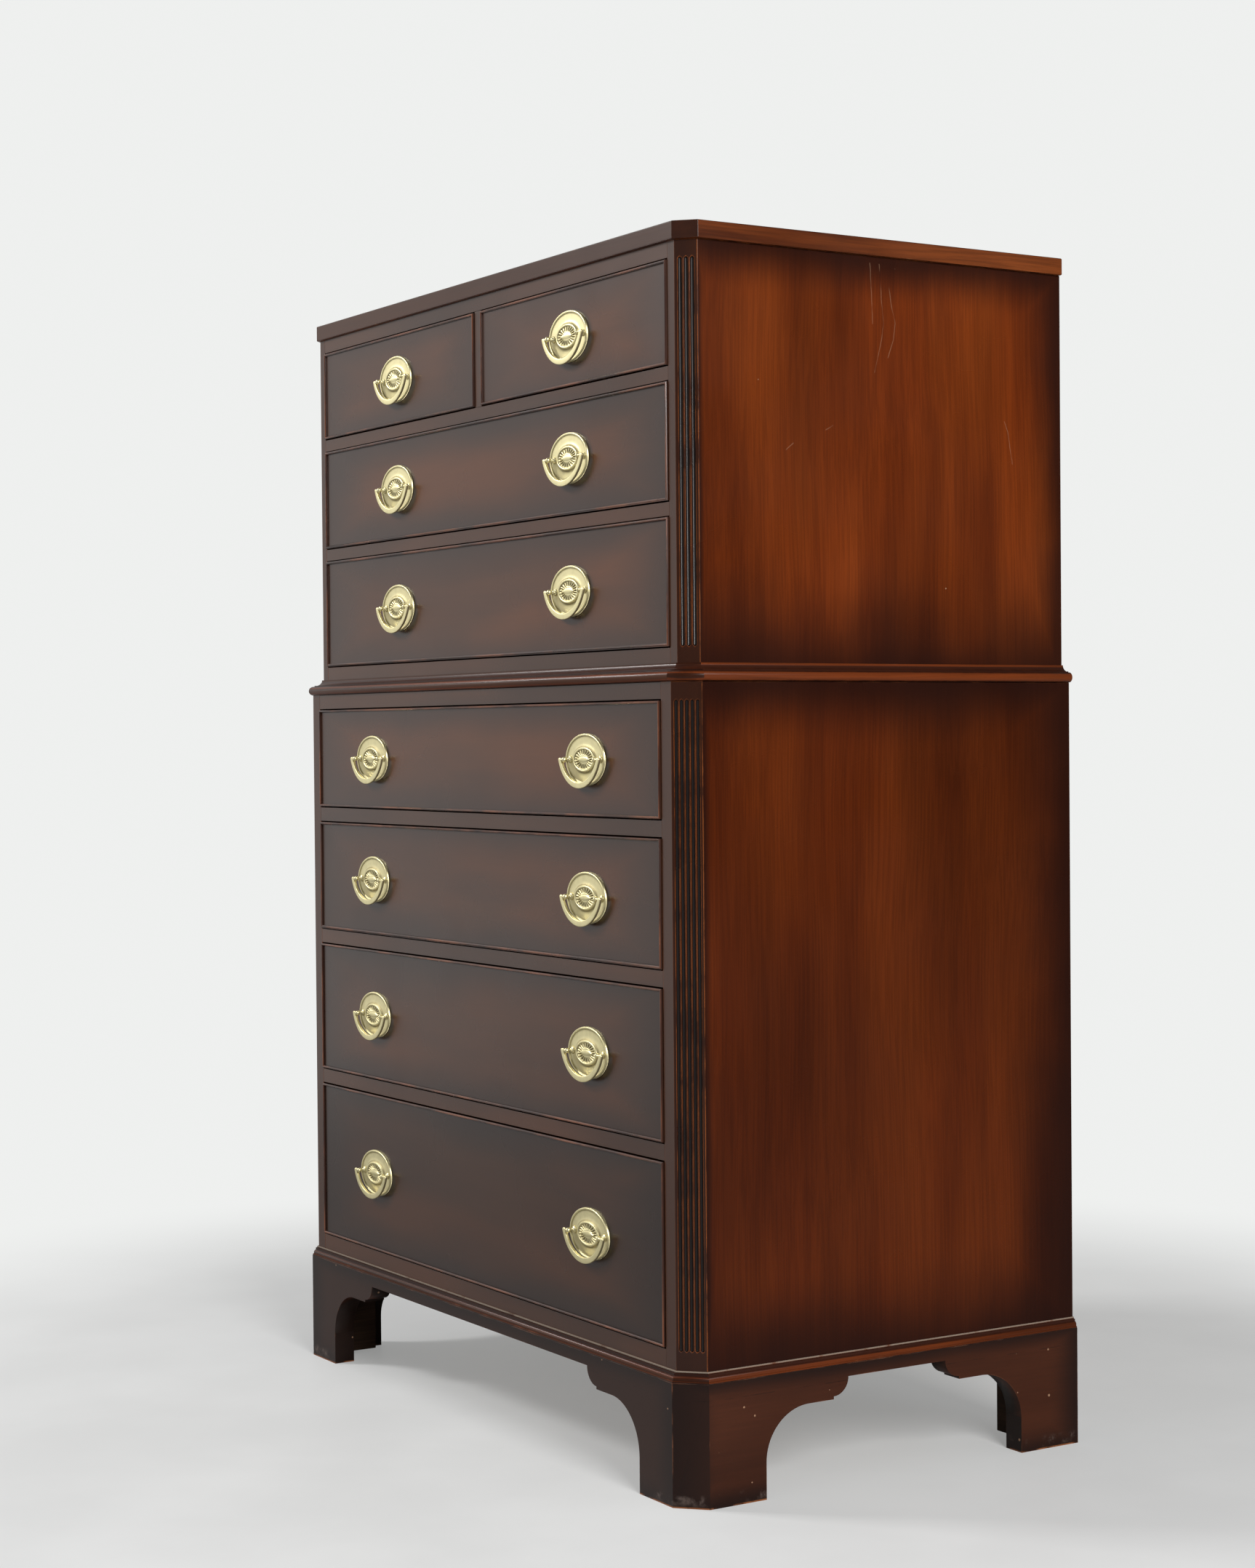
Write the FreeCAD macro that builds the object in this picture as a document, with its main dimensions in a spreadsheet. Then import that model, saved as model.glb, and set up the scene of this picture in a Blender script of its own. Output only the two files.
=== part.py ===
import FreeCAD, Part
import math
import os
import re
import Sketcher

# Chest on chest. Millimetres, Z up, the front faces -Y, the origin is on the floor under the
# middle of the overall box.
doc = FreeCAD.newDocument("chest_on_chest")
sheet = doc.addObject("Spreadsheet::Sheet", "Sizes")
Vector = FreeCAD.Vector

# Driving sizes.
SIZES = {
    # Heights, from the floor up.
    "plinth_height": 136.5,
    "base_moulding_height": 12.0,
    "lower_bottom_rail": 20.0,
    "lower_rail": 18.5,
    "lower_top_rail": 19.0,
    "waist_moulding_height": 20.5,
    "upper_bottom_rail": 17.0,
    "upper_rail": 15.5,
    "upper_top_rail": 18.0,
    "top_thickness": 20.0,
    # Heights of the drawer openings.
    "opening_lower_four": 206.5,
    "opening_lower_three": 171.5,
    "opening_lower_two": 146.0,
    "opening_lower_one": 132.5,
    "opening_upper_two": 144.0,
    "opening_upper_one": 132.5,
    "opening_small": 117.5,
    # Plan of the two cases.
    "upper_width": 925.0,
    "upper_depth": 530.0,
    "case_step": 13.0,
    "upper_cant": 18.3,
    "lower_cant": 24.7,
    "stile_width": 32.0,
    "divider_width": 15.5,
    "top_overhang": 4.5,
    "top_edge_softening": 0.8,
    # Boards of the cases.
    "side_thickness": 18.0,
    "rail_depth": 45.0,
    "board_thickness": 18.0,
    "back_thickness": 8.0,
    "back_rebate": 9.0,
    "back_board_gap": 1.0,
    "runner_reach": 24.0,
    "guide_height": 20.0,
    # Mouldings.
    "base_moulding_setback": 0.5,
    # Plinth and bracket feet.
    "plinth_overhang": 8.0,
    "plinth_thickness": 28.0,
    "plinth_strip": 14.4,
    "front_leg": 97.5,
    "side_leg": 104.0,
    "rear_leg": 86.0,
    "bracket_length": 112.0,
    "bracket_cove": 57.5,
    "bracket_quarter": 20.3,
    "bracket_step": 3.2,
    "rear_board_thickness": 18.0,
    "rear_foot": 62.0,
    "rear_slope": 54.0,
    "block_size": 45.0,
    "block_lift": 8.0,
    # Drawers.
    "drawer_gap": 1.5,
    "drawer_side_gap": 1.0,
    "drawer_running_gap": 0.3,
    "drawer_top_gap": 6.0,
    "drawer_back_gap": 18.0,
    "drawer_back_drop": 8.0,
    "front_thickness": 20.0,
    "bead_thickness": 3.0,
    "bead_depth": 9.0,
    "bead_projection": 2.6,
    "bead_softening": 1.0,
    "drawer_side_thickness": 10.0,
    "drawer_back_thickness": 10.0,
    "drawer_bottom_thickness": 6.0,
    "drawer_bottom_raise": 8.0,
    # Pulls.
    "plate_length": 86.0,
    "plate_height": 60.0,
    "plate_thickness": 2.0,
    "medallion_length": 48.0,
    "medallion_height": 28.0,
    "medallion_rise": 3.0,
    "post_spread": 67.0,
    "shank_diameter": 5.5,
    "head_diameter": 9.0,
    "head_length": 7.0,
    "pivot_reach": 9.5,
    "pintle_diameter": 3.0,
    "pintle_clearance": 0.06,
    "pintle_length": 8.5,
    "bail_width": 90.0,
    "bail_drop": 33.0,
    "bail_breadth": 6.2,
    "bail_end_breadth": 5.2,
    "bail_ear": 3.5,
    "bail_thickness": 4.2,
    "nut_width": 9.0,
    "nut_thickness": 4.0,
    # How far a cutting outline runs past the wood that it cuts.
    "overrun": 4.0,
}
UPPER_FLUTES = 3
LOWER_FLUTES = 5
BACK_BOARDS = 4
PLATE_SIDES = 24
MEDALLION_SIDES = 16
BAIL_STEPS = 12
NUT_SIDES = 4
SHANK_SIDES = 8
HEAD_SIDES = 8
PINTLE_SIDES = 8
UPPER_PULL_SHARE = 0.5064
LOWER_PULL_SHARE = 0.6295
WAIST_BEAD_SHARE = 0.58
CANT_ANGLE = 45
HALF_CANT_SHARE = math.tan(math.radians(CANT_ANGLE / 2))
SQUARE_MITRE_SHARE = 1.0
NO_MITRE_SHARE = 0.0
FLUTE_MARGIN_SHARE = 0.8
FLUTE_RADIUS_SHARE = 0.36

for row, (alias, value) in enumerate(SIZES.items(), start=1):
    sheet.set("A%d" % row, alias)
    sheet.set("B%d" % row, str(value))
    sheet.setAlias("B%d" % row, alias)
doc.recompute()

# Sizes that follow from the driving ones.
DERIVED = {
    "upper_half": "upper_width / 2",
    "lower_half": "upper_half + case_step",
    "lower_depth": "upper_depth + case_step",
    "opening_half": "upper_half - stile_width",
    "divider_half": "divider_width / 2",
    "pull_reach": "pivot_reach + head_diameter / 2",
    "back_y": "(lower_depth + pull_reach) / 2",
    "back_inner_y": "back_y - back_thickness",
    "upper_front": "back_y - upper_depth",
    "lower_front": "back_y - lower_depth",
    "cant_growth": "2 - sqrt(2)",
    "top_half": "upper_half + top_overhang",
    "top_front": "upper_front - top_overhang",
    "top_cant": "upper_cant + top_overhang * cant_growth",
    "plinth_half": "lower_half + plinth_overhang",
    "plinth_front": "lower_front - plinth_overhang",
    "plinth_cant": "lower_cant + plinth_overhang * cant_growth",
    "plinth_inner": "plinth_half - plinth_thickness",
    "plinth_inner_front": "plinth_front + plinth_thickness",
    "strip_low": "plinth_height - plinth_strip",
    "quarter_low": "strip_low - bracket_quarter",
    "cove_high": "quarter_low - bracket_step",
    "cove_low": "cove_high - bracket_cove",
    "base_moulding_width": "plinth_overhang - base_moulding_setback",
    "waist_bead_radius": "%f * waist_moulding_height / 2" % WAIST_BEAD_SHARE,
    "waist_moulding_width": "case_step + waist_bead_radius",
    "lower_row_four": "plinth_height + base_moulding_height + lower_bottom_rail",
    "lower_row_three": "lower_row_four + opening_lower_four + lower_rail",
    "lower_row_two": "lower_row_three + opening_lower_three + lower_rail",
    "lower_row_one": "lower_row_two + opening_lower_two + lower_rail",
    "lower_openings_top": "lower_row_one + opening_lower_one",
    "lower_top": "lower_openings_top + lower_top_rail",
    "upper_row_two": "lower_top + waist_moulding_height + upper_bottom_rail",
    "upper_row_one": "upper_row_two + opening_upper_two + upper_rail",
    "upper_row_small": "upper_row_one + opening_upper_one + upper_rail",
    "upper_openings_top": "upper_row_small + opening_small",
    "upper_top": "upper_openings_top + upper_top_rail",
    "drawer_back_y": "back_inner_y - drawer_back_gap",
    "bead_length": "bead_depth + bead_projection",
    "bail_half": "bail_width / 2",
    "bail_inner_half": "bail_half - bail_end_breadth",
    "bail_inner_drop": "bail_drop - bail_breadth",
    "bail_outer_radius": "(bail_half * bail_half + bail_drop * bail_drop) / (2 * bail_drop)",
    "bail_inner_radius": "(bail_inner_half * bail_inner_half + bail_inner_drop * bail_inner_drop)"
                         " / (2 * bail_inner_drop)",
    "post_half": "post_spread / 2",
    "upper_pull_x": "%f * opening_half" % UPPER_PULL_SHARE,
    "lower_pull_x": "%f * opening_half" % LOWER_PULL_SHARE,
    "small_half": "(opening_half - divider_half) / 2",
    "small_centre": "divider_half + small_half",
}


def full(text):
    """Write out a formula with sheet cells in place of the names of sizes."""
    def swap(found):
        name = found.group(0)
        if name in SIZES:
            return "Sizes." + name
        if name in DERIVED:
            return "(" + full(DERIVED[name]) + ")"
        return name
    return re.sub(r"[a-z][a-z_]*", swap, text)


def number(text):
    """Work out a formula as a number of millimetres."""
    return float(sheet.evalExpression(full(text)))


def bind(item, prop, text):
    """Tie a property to a formula of sheet cells."""
    item.setExpression(prop, full(text))


def place(item, x="0", y="0", z="0"):
    """Tie the position of an object to three formulas."""
    for axis, text in zip("xyz", (x, y, z)):
        bind(item, "Placement.Base." + axis, text)
    return item


def turn(item, axis, angle):
    """Turn an object about an axis through its own origin."""
    item.Placement = FreeCAD.Placement(Vector(), FreeCAD.Rotation(axis, angle))
    return item


X_AXIS = Vector(1, 0, 0)
Y_AXIS = Vector(0, 1, 0)
Z_AXIS = Vector(0, 0, 1)


def board(name, x, y, z):
    """Make a plain board between a low and a high formula on each axis."""
    box = doc.addObject("Part::Box", name)
    for prop, (low, high) in zip(("Length", "Width", "Height"), (x, y, z)):
        bind(box, prop, "(" + high + ") - (" + low + ")")
    return place(box, x[0], y[0], z[0])


def group(name, items):
    """Keep several separate solids together as one piece of the list."""
    compound = doc.addObject("Part::Compound", name)
    compound.Links = items
    return compound


def mirrored(name, source):
    """Make the left-hand twin of a right-hand piece."""
    twin = doc.addObject("Part::Mirroring", name)
    twin.Source = source
    twin.Normal = X_AXIS
    return twin


def new_body(name):
    """Start a body."""
    return doc.addObject("PartDesign::Body", name)


def new_sketch(body, name, role):
    """Start a sketch on one of the body's own origin planes."""
    sketch = body.newObject("Sketcher::SketchObject", name)
    plane = next(item for item in body.Origin.OriginFeatures if item.Role == role)
    sketch.AttachmentSupport = (plane, [""])
    sketch.MapMode = "FlatFace"
    return sketch


def hold(sketch, kind, text, *where):
    """Add one dimension to a sketch and tie it to a formula."""
    index = sketch.addConstraint(Sketcher.Constraint(kind, *where, number(text)))
    bind(sketch, "Constraints[%d]" % index, text)


def bowed(start, end, radius, side):
    """Give the arc from start to end whose middle lies to the left (side 1) or right (side -1).

    A sketch keeps every arc counter-clockwise, so one that bows to the left runs from its end.
    """
    chord = end - start
    normal = Vector(-chord.y, chord.x).normalize()
    rise = radius - math.sqrt(max(radius ** 2 - chord.Length ** 2 / 4, 0))
    middle = (start + end) / 2 + normal * rise * side
    return Part.Arc(end, middle, start) if side > 0 else Part.Arc(start, middle, end)


def outline(sketch, corners):
    """Draw a closed outline; a corner with a radius and a side starts an arc to the next one."""
    spots = [Vector(number(corner[0]), number(corner[1])) for corner in corners]
    first = sketch.GeometryCount
    count = len(corners)
    for index, corner in enumerate(corners):
        start, end = spots[index], spots[(index + 1) % count]
        if len(corner) > 2:
            sketch.addGeometry(bowed(start, end, number(corner[2]), corner[3]))
        else:
            sketch.addGeometry(Part.LineSegment(start, end))
    starts = [2 if len(corner) > 2 and corner[3] > 0 else 1 for corner in corners]
    for index in range(count):
        following = (index + 1) % count
        sketch.addConstraint(Sketcher.Constraint("Coincident", first + index, 3 - starts[index],
                                                 first + following, starts[following]))
    for index, corner in enumerate(corners):
        hold(sketch, "DistanceX", corner[0], -1, 1, first + index, starts[index])
        hold(sketch, "DistanceY", corner[1], -1, 1, first + index, starts[index])
    for index, corner in enumerate(corners):
        if len(corner) > 2:
            hold(sketch, "Radius", corner[2], first + index)


def rectangle(sketch, half_width, half_height):
    """Draw a rectangle about the sketch's origin."""
    outline(sketch, [("-(%s)" % half_width, "-(%s)" % half_height),
                     (half_width, "-(%s)" % half_height),
                     (half_width, half_height),
                     ("-(%s)" % half_width, half_height)])


def pad(body, sketch, length, reverse=False, both_ways=False):
    """Raise a sketch to a length."""
    feature = body.newObject("PartDesign::Pad", sketch.Name + "_pad")
    feature.Profile = sketch
    feature.Reversed = reverse
    feature.Midplane = both_ways
    bind(feature, "Length", length)
    return feature


def cut_through(body, sketch):
    """Cut a sketch right through the body, both ways."""
    feature = body.newObject("PartDesign::Pocket", sketch.Name + "_cut")
    feature.Profile = sketch
    feature.Type = "ThroughAll"
    feature.Midplane = True
    return feature


def mitred_run(name, profile, half_length, width, first_share, second_share):
    """Make a straight length of moulding with cut ends.

    The length runs along X with its inner face on Y = 0; profile corners are (out, up). A mitre
    share says how far an end runs on for each millimetre outward.
    """
    body = new_body(name)
    section = new_sketch(body, name + "_section", "YZ_Plane")
    outline(section, [("-(%s)" % corner[0],) + corner[1:] for corner in profile])
    pad(body, section, "2 * (%s + %s + overrun)" % (half_length, width), both_ways=True)
    ends = new_sketch(body, name + "_ends", "XY_Plane")
    for side, share in ((-1, first_share), (1, second_share)):
        inner = "%d * (%s - %f * overrun)" % (side, half_length, share)
        outer = "%d * (%s + %f * (%s + overrun))" % (side, half_length, share, width)
        far = "%d * (%s + %s + 2 * overrun)" % (side, half_length, width)
        outline(ends, [(inner, "overrun"), (far, "overrun"),
                       (far, "-(%s + overrun)" % width), (outer, "-(%s + overrun)" % width)])
    cut_through(body, ends)
    return body


def moulding(name, profile, width, half, front, cant, low):
    """Run a moulding round the front, the cants and the sides of a case."""
    long_half = "((%s) - (%s))" % (half, cant)
    cant_half = "(%s) / sqrt(2)" % cant
    side_half = "((back_y - (%s) - (%s)) / 2)" % (front, cant)
    ahead = mitred_run(name + "_front", profile, long_half, width,
                       HALF_CANT_SHARE, HALF_CANT_SHARE)
    corner = mitred_run(name + "_cant_right", profile, cant_half, width,
                        HALF_CANT_SHARE, HALF_CANT_SHARE)
    flank = mitred_run(name + "_side_right", profile, side_half, width,
                       HALF_CANT_SHARE, NO_MITRE_SHARE)
    turn(corner, Z_AXIS, CANT_ANGLE)
    turn(flank, Z_AXIS, 2 * CANT_ANGLE)
    place(ahead, y=front, z=low)
    place(corner, "(%s) - (%s) / 2" % (half, cant), "(%s) + (%s) / 2" % (front, cant), low)
    place(flank, half, "(back_y + (%s) + (%s)) / 2" % (front, cant), low)
    return group(name, [ahead, corner, flank, mirrored(name + "_cant_left", corner),
                        mirrored(name + "_side_left", flank)])


def corner_post(name, half, front, cant, low, high, flutes, flute_low, flute_high):
    """Make a canted corner post with stopped flutes; the rebate behind the cant takes the side."""
    body = new_body(name)
    plan = new_sketch(body, name + "_plan", "XY_Plane")
    inner = "%s - side_thickness" % half
    shoulder = "%s + %s" % (front, cant)
    rear = "%s + rail_depth" % front
    outline(plan, [("opening_half", front), ("%s - %s" % (half, cant), front), (half, shoulder),
                   (inner, shoulder), (inner, rear), ("opening_half", rear)])
    pad(body, plan, "%s - %s" % (high, low))
    pitch = "(%s * sqrt(2) / %f)" % (cant, flutes + FLUTE_MARGIN_SHARE)
    radius = "(%s * %f)" % (pitch, FLUTE_RADIUS_SHARE)
    inset = "((%s - %d * %s / sqrt(2)) / 2)" % (cant, flutes - 1, pitch)
    flute = new_sketch(body, name + "_flute", "XZ_Plane")
    flute.AttachmentOffset = FreeCAD.Placement(Vector(), FreeCAD.Rotation(Y_AXIS, CANT_ANGLE))
    bind(flute, "AttachmentOffset.Base.x", "%s - %s + %s" % (half, cant, inset))
    bind(flute, "AttachmentOffset.Base.z", "-(%s + %s)" % (front, inset))
    start = "%s - %s" % (flute_low, low)
    end = "%s - %s" % (flute_high, low)
    outline(flute, [("0", start), (radius, "%s + %s" % (start, radius)),
                    (radius, "%s - %s" % (end, radius)), ("0", end)])
    doc.recompute()
    groove = body.newObject("PartDesign::Groove", name + "_groove")
    groove.Profile = flute
    groove.ReferenceAxis = (flute, ["V_Axis"])
    groove.Angle = 360
    row = body.newObject("PartDesign::LinearPattern", name + "_flutes")
    row.Originals = [groove]
    row.Direction = (flute, ["H_Axis"])
    row.Occurrences = flutes
    bind(row, "Length", "%d * %s" % (flutes - 1, pitch))
    body.Tip = row
    return place(body, z=low)


def side_board(name, half, front, cant, low, high):
    """Make a side board with a rebate at the rear for the back boards."""
    body = new_body(name)
    plan = new_sketch(body, name + "_plan", "XY_Plane")
    start = "%s + %s" % (front, cant)
    outline(plan, [("%s - side_thickness" % half, start), (half, start), (half, "back_y"),
                   ("%s - back_rebate" % half, "back_y"),
                   ("%s - back_rebate" % half, "back_inner_y"),
                   ("%s - side_thickness" % half, "back_inner_y")])
    pad(body, plan, "%s - %s" % (high, low))
    return place(body, z=low)


def back_boards(name, half, low, high):
    """Make the upright boards of a back, side by side in the rebates."""
    reach = "(%s - back_rebate)" % half
    pitch = "((2 * %s + back_board_gap) / %d)" % (reach, BACK_BOARDS)
    boards = []
    for index in range(BACK_BOARDS):
        start = "%d * %s - %s" % (index, pitch, reach)
        end = start + " + " + pitch + " - back_board_gap"
        boards.append(board("%s_%d" % (name, index + 1), (start, end),
                            ("back_inner_y", "back_y"), (low, high)))
    return group(name, boards)


def runner_pair(name, half, front, low, high, inner="opening_half - runner_reach"):
    """Make a right-hand strip behind the front rail and its left-hand twin."""
    right = board(name + "_right", (inner, "%s - side_thickness" % half),
                  ("%s + rail_depth" % front, "back_inner_y"), (low, high))
    return [right, mirrored(name + "_left", right)]


class Case:
    """The boards of one case, from the formulas of its plan and its rows of drawers."""

    def __init__(self, name, half, front, cant, low, high, rows, openings_top, rail, flutes):
        self.name = name
        self.half = half
        self.front = front
        self.cant = cant
        self.low = low
        self.high = high
        self.rows = rows
        self.openings_top = openings_top
        self.rail = rail
        self.flutes = flutes

    def uprights(self):
        """Make the side boards and the corner posts."""
        side = side_board(self.name + "_side_right", self.half, self.front, self.cant,
                          self.low, self.high)
        post = corner_post(self.name + "_post_right", self.half, self.front, self.cant, self.low,
                           self.high, self.flutes, self.rows[0], self.openings_top)
        return [side, mirrored(self.name + "_side_left", side),
                post, mirrored(self.name + "_post_left", post)]

    def rails(self, extra):
        """Make the front rails below, between and above the rows of drawers."""
        edges = [(self.low, self.rows[0])]
        edges += [("%s - %s" % (row, self.rail), row) for row in self.rows[1:]]
        edges.append((self.openings_top, self.high))
        depth = (self.front, "%s + rail_depth" % self.front)
        width = ("-opening_half", "opening_half")
        strips = [board("%s_rail_%d" % (self.name, index), width, depth, edge)
                  for index, edge in enumerate(edges, start=1)]
        return group(self.name + "_front_rails", strips + extra)

    def runners(self, extra):
        """Make the strips that carry and guide the drawers."""
        strips = []
        for index, row in enumerate(self.rows):
            floor = "%s - %s" % (row, self.rail)
            if index == 0:
                floor = "%s + board_thickness" % self.low
            label = "%s_runner_%d" % (self.name, index + 1)
            strips += runner_pair(label, self.half, self.front, floor, row)
            strips += runner_pair(label + "_guide", self.half, self.front, row,
                                  row + " + guide_height", "opening_half")
        return group(self.name + "_runners", strips + extra)

    def back(self):
        """Make the back."""
        return back_boards(self.name + "_back", self.half, self.low, self.high)

    def inner_board(self, name, low, high):
        """Make a board between the sides, behind the front rails."""
        inner = "%s - side_thickness" % self.half
        return board(name, ("-(%s)" % inner, inner),
                     ("%s + rail_depth" % self.front, "back_inner_y"), (low, high))


upper = Case("upper", "upper_half", "upper_front", "upper_cant", "lower_top", "upper_top",
             ["upper_row_two", "upper_row_one", "upper_row_small"], "upper_openings_top",
             "upper_rail", UPPER_FLUTES)
lower = Case("lower", "lower_half", "lower_front", "lower_cant", "plinth_height", "lower_top",
             ["lower_row_four", "lower_row_three", "lower_row_two", "lower_row_one"],
             "lower_openings_top", "lower_rail", LOWER_FLUTES)

# The top board, with its edges softened above and below.
top = new_body("top_board")
top_plan = new_sketch(top, "top_plan", "XY_Plane")
outline(top_plan, [("-(top_half - top_cant)", "top_front"), ("top_half - top_cant", "top_front"),
                   ("top_half", "top_front + top_cant"), ("top_half", "back_y"),
                   ("-top_half", "back_y"), ("-top_half", "top_front + top_cant")])
top_pad = pad(top, top_plan, "top_thickness")
doc.recompute()
top_faces = [index for index, face in enumerate(top_pad.Shape.Faces, start=1)
             if face.normalAt(0, 0).z ** 2 > 0.5]
top_edge = top.newObject("PartDesign::Chamfer", "top_edge")
top_edge.Base = (top_pad, ["Face%d" % index for index in top_faces])
bind(top_edge, "Size", "top_edge_softening")
place(top, z="upper_top")
nodes = [top]

# The upper case; the small drawers run on a shared runner in the middle.
behind_rail = ("upper_front + rail_depth", "back_inner_y")
divider = board("upper_divider", ("-divider_half", "divider_half"),
                ("upper_front", "upper_front + rail_depth"),
                ("upper_row_small", "upper_openings_top"))
centre_reach = "divider_half + runner_reach"
centre_span = ("-(%s)" % centre_reach, centre_reach)
centre_strips = [
    board("upper_centre_runner", centre_span, behind_rail,
          ("upper_row_small - upper_rail", "upper_row_small")),
    board("upper_centre_guide", ("-divider_half", "divider_half"), behind_rail,
          ("upper_row_small", "upper_row_small + guide_height")),
    board("upper_centre_kicker", centre_span, behind_rail, ("upper_openings_top", "upper_top")),
]
centre_strips += runner_pair("upper_kicker", "upper_half", "upper_front", "upper_openings_top",
                             "upper_top")
nodes += upper.uprights() + [upper.back(), upper.rails([divider]), upper.runners(centre_strips)]

# The lower case.
nodes += lower.uprights() + [lower.back(), lower.rails([]), lower.runners([])]
nodes.append(group("carcase_boards", [
    upper.inner_board("upper_bottom_board", "lower_top", "lower_top + board_thickness"),
    lower.inner_board("lower_top_board", "lower_top - board_thickness", "lower_top"),
    lower.inner_board("lower_bottom_board", "plinth_height", "plinth_height + board_thickness"),
]))

# Profiles of the mouldings, as shares of their width (out) and height (up).
WAIST_STEP_TOP_SHARE = 0.64
WAIST_COVE_OUT_SHARE = 0.62
WAIST_FILLET_SHARE = 0.12
WAIST_FILLET_LOW_SHARE = 0.93
WAIST_COVE_BOW_SHARE = 0.75
waist_cove_low = "(%f * waist_moulding_height)" % WAIST_STEP_TOP_SHARE
waist_cove_high = "(%f * waist_moulding_height)" % WAIST_FILLET_LOW_SHARE
waist_cove_out = "(%f * waist_moulding_width)" % WAIST_COVE_OUT_SHARE
waist_fillet = "(%f * waist_moulding_width)" % WAIST_FILLET_SHARE
waist_cove_reach = "(%s - %s)" % (waist_cove_out, waist_fillet)
waist_cove_rise = "(%s - %s)" % (waist_cove_high, waist_cove_low)
waist_profile = [
    ("0", "0"),
    ("case_step", "0", "waist_bead_radius", 1),
    ("waist_moulding_width", "waist_bead_radius", "waist_bead_radius", 1),
    ("case_step", "2 * waist_bead_radius"),
    (waist_cove_out, "2 * waist_bead_radius"),
    (waist_cove_out, waist_cove_low,
     "%f * sqrt(%s * %s + %s * %s)" % (WAIST_COVE_BOW_SHARE, waist_cove_reach, waist_cove_reach,
                                       waist_cove_rise, waist_cove_rise), -1),
    (waist_fillet, waist_cove_high),
    (waist_fillet, "waist_moulding_height"),
    ("0", "waist_moulding_height"),
]
nodes.append(moulding("waist_moulding", waist_profile, "waist_moulding_width", "upper_half",
                      "upper_front", "upper_cant", "lower_top"))

BASE_FILLET_SHARE = 0.14
BASE_RECESS_SHARE = 0.84
BASE_OVOLO_LOW_SHARE = 0.24
BASE_OVOLO_HIGH_SHARE = 0.62
BASE_OVOLO_TOP_SHARE = 0.52
BASE_BEAD_HIGH_SHARE = 0.82
BASE_BEAD_TOP_SHARE = 0.26
base_fillet = "(%f * base_moulding_height)" % BASE_FILLET_SHARE
base_recess = "(%f * base_moulding_width)" % BASE_RECESS_SHARE
base_ovolo_low = "(%f * base_moulding_height)" % BASE_OVOLO_LOW_SHARE
base_ovolo_high = "(%f * base_moulding_height)" % BASE_OVOLO_HIGH_SHARE
base_ovolo_top = "(%f * base_moulding_width)" % BASE_OVOLO_TOP_SHARE
base_bead_high = "(%f * base_moulding_height)" % BASE_BEAD_HIGH_SHARE
base_bead_top = "(%f * base_moulding_width)" % BASE_BEAD_TOP_SHARE
base_profile = [
    ("0", "0"),
    ("base_moulding_width", "0"),
    ("base_moulding_width", base_fillet),
    (base_recess, base_fillet),
    (base_recess, base_ovolo_low, "%s - %s" % (base_ovolo_high, base_ovolo_low), 1),
    (base_ovolo_top, base_ovolo_high),
    (base_ovolo_top, base_bead_high),
    (base_bead_top, base_bead_high),
    (base_bead_top, "base_moulding_height"),
    ("0", "base_moulding_height"),
]
nodes.append(moulding("base_moulding", base_profile, "base_moulding_width", "lower_half",
                      "lower_front", "lower_cant", "plinth_height"))


def bracket(edge, way):
    """Give the outline of one bracket, from the floor up its leg to the strip.

    The leg's edge is at the given place and the bracket runs on from it in the given way.
    """
    tip = "%s + %d * bracket_length" % (edge, way)
    quarter = "%s - %d * bracket_quarter" % (tip, way)
    cove = "%s + %d * bracket_cove" % (edge, way)
    return [(edge, "-overrun"), (edge, "cove_low", "bracket_cove", way), (cove, "cove_high"),
            (quarter, "cove_high"), (quarter, "quarter_low", "bracket_quarter", -way),
            (tip, "strip_low")]


def other_bracket(edge, way):
    """Give the same outline from the strip down to the floor."""
    up = bracket(edge, way)
    down = []
    for index in range(len(up) - 1, -1, -1):
        corner = up[index][:2]
        if index > 0 and len(up[index - 1]) > 2:
            corner += (up[index - 1][2], -up[index - 1][3])
        down.append(corner)
    return down


def plinth_board(name, plan_corners, role, arch):
    """Make a plinth board from its mitred plan and cut the arch between the feet."""
    body = new_body(name)
    plan = new_sketch(body, name + "_plan", "XY_Plane")
    outline(plan, plan_corners)
    pad(body, plan, "plinth_height")
    if arch:
        gap = new_sketch(body, name + "_gap", role)
        outline(gap, arch)
        cut_through(body, gap)
    return body


corner_inner_x = "plinth_half - plinth_cant - %f * plinth_thickness" % HALF_CANT_SHARE
corner_inner_y = "plinth_front + plinth_cant + %f * plinth_thickness" % HALF_CANT_SHARE
front_corner = ("plinth_half - plinth_cant", "plinth_front")
front_corner_inner = (corner_inner_x, "plinth_inner_front")
side_corner = ("plinth_half", "plinth_front + plinth_cant")
side_corner_inner = ("plinth_inner", corner_inner_y)
front_edge = "plinth_half - front_leg"
plinth_front_board = plinth_board(
    "plinth_front",
    [("-(%s)" % front_corner[0], front_corner[1]), front_corner, front_corner_inner,
     ("-(%s)" % front_corner_inner[0], front_corner_inner[1])],
    "XZ_Plane",
    bracket("-(%s)" % front_edge, 1) + other_bracket(front_edge, -1))
plinth_corner = plinth_board("plinth_corner_right", [front_corner, side_corner, side_corner_inner,
                                                     front_corner_inner], "XZ_Plane", [])
plinth_flank = plinth_board(
    "plinth_side_right",
    [side_corner, ("plinth_half", "back_y"), ("plinth_inner", "back_y"), side_corner_inner],
    "YZ_Plane",
    bracket("plinth_front + side_leg", 1) + other_bracket("back_y - rear_leg", -1))
plinth_right = group("plinth_right", [plinth_flank, plinth_corner])
nodes += [plinth_front_board, plinth_right, mirrored("plinth_left", plinth_right)]

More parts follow.
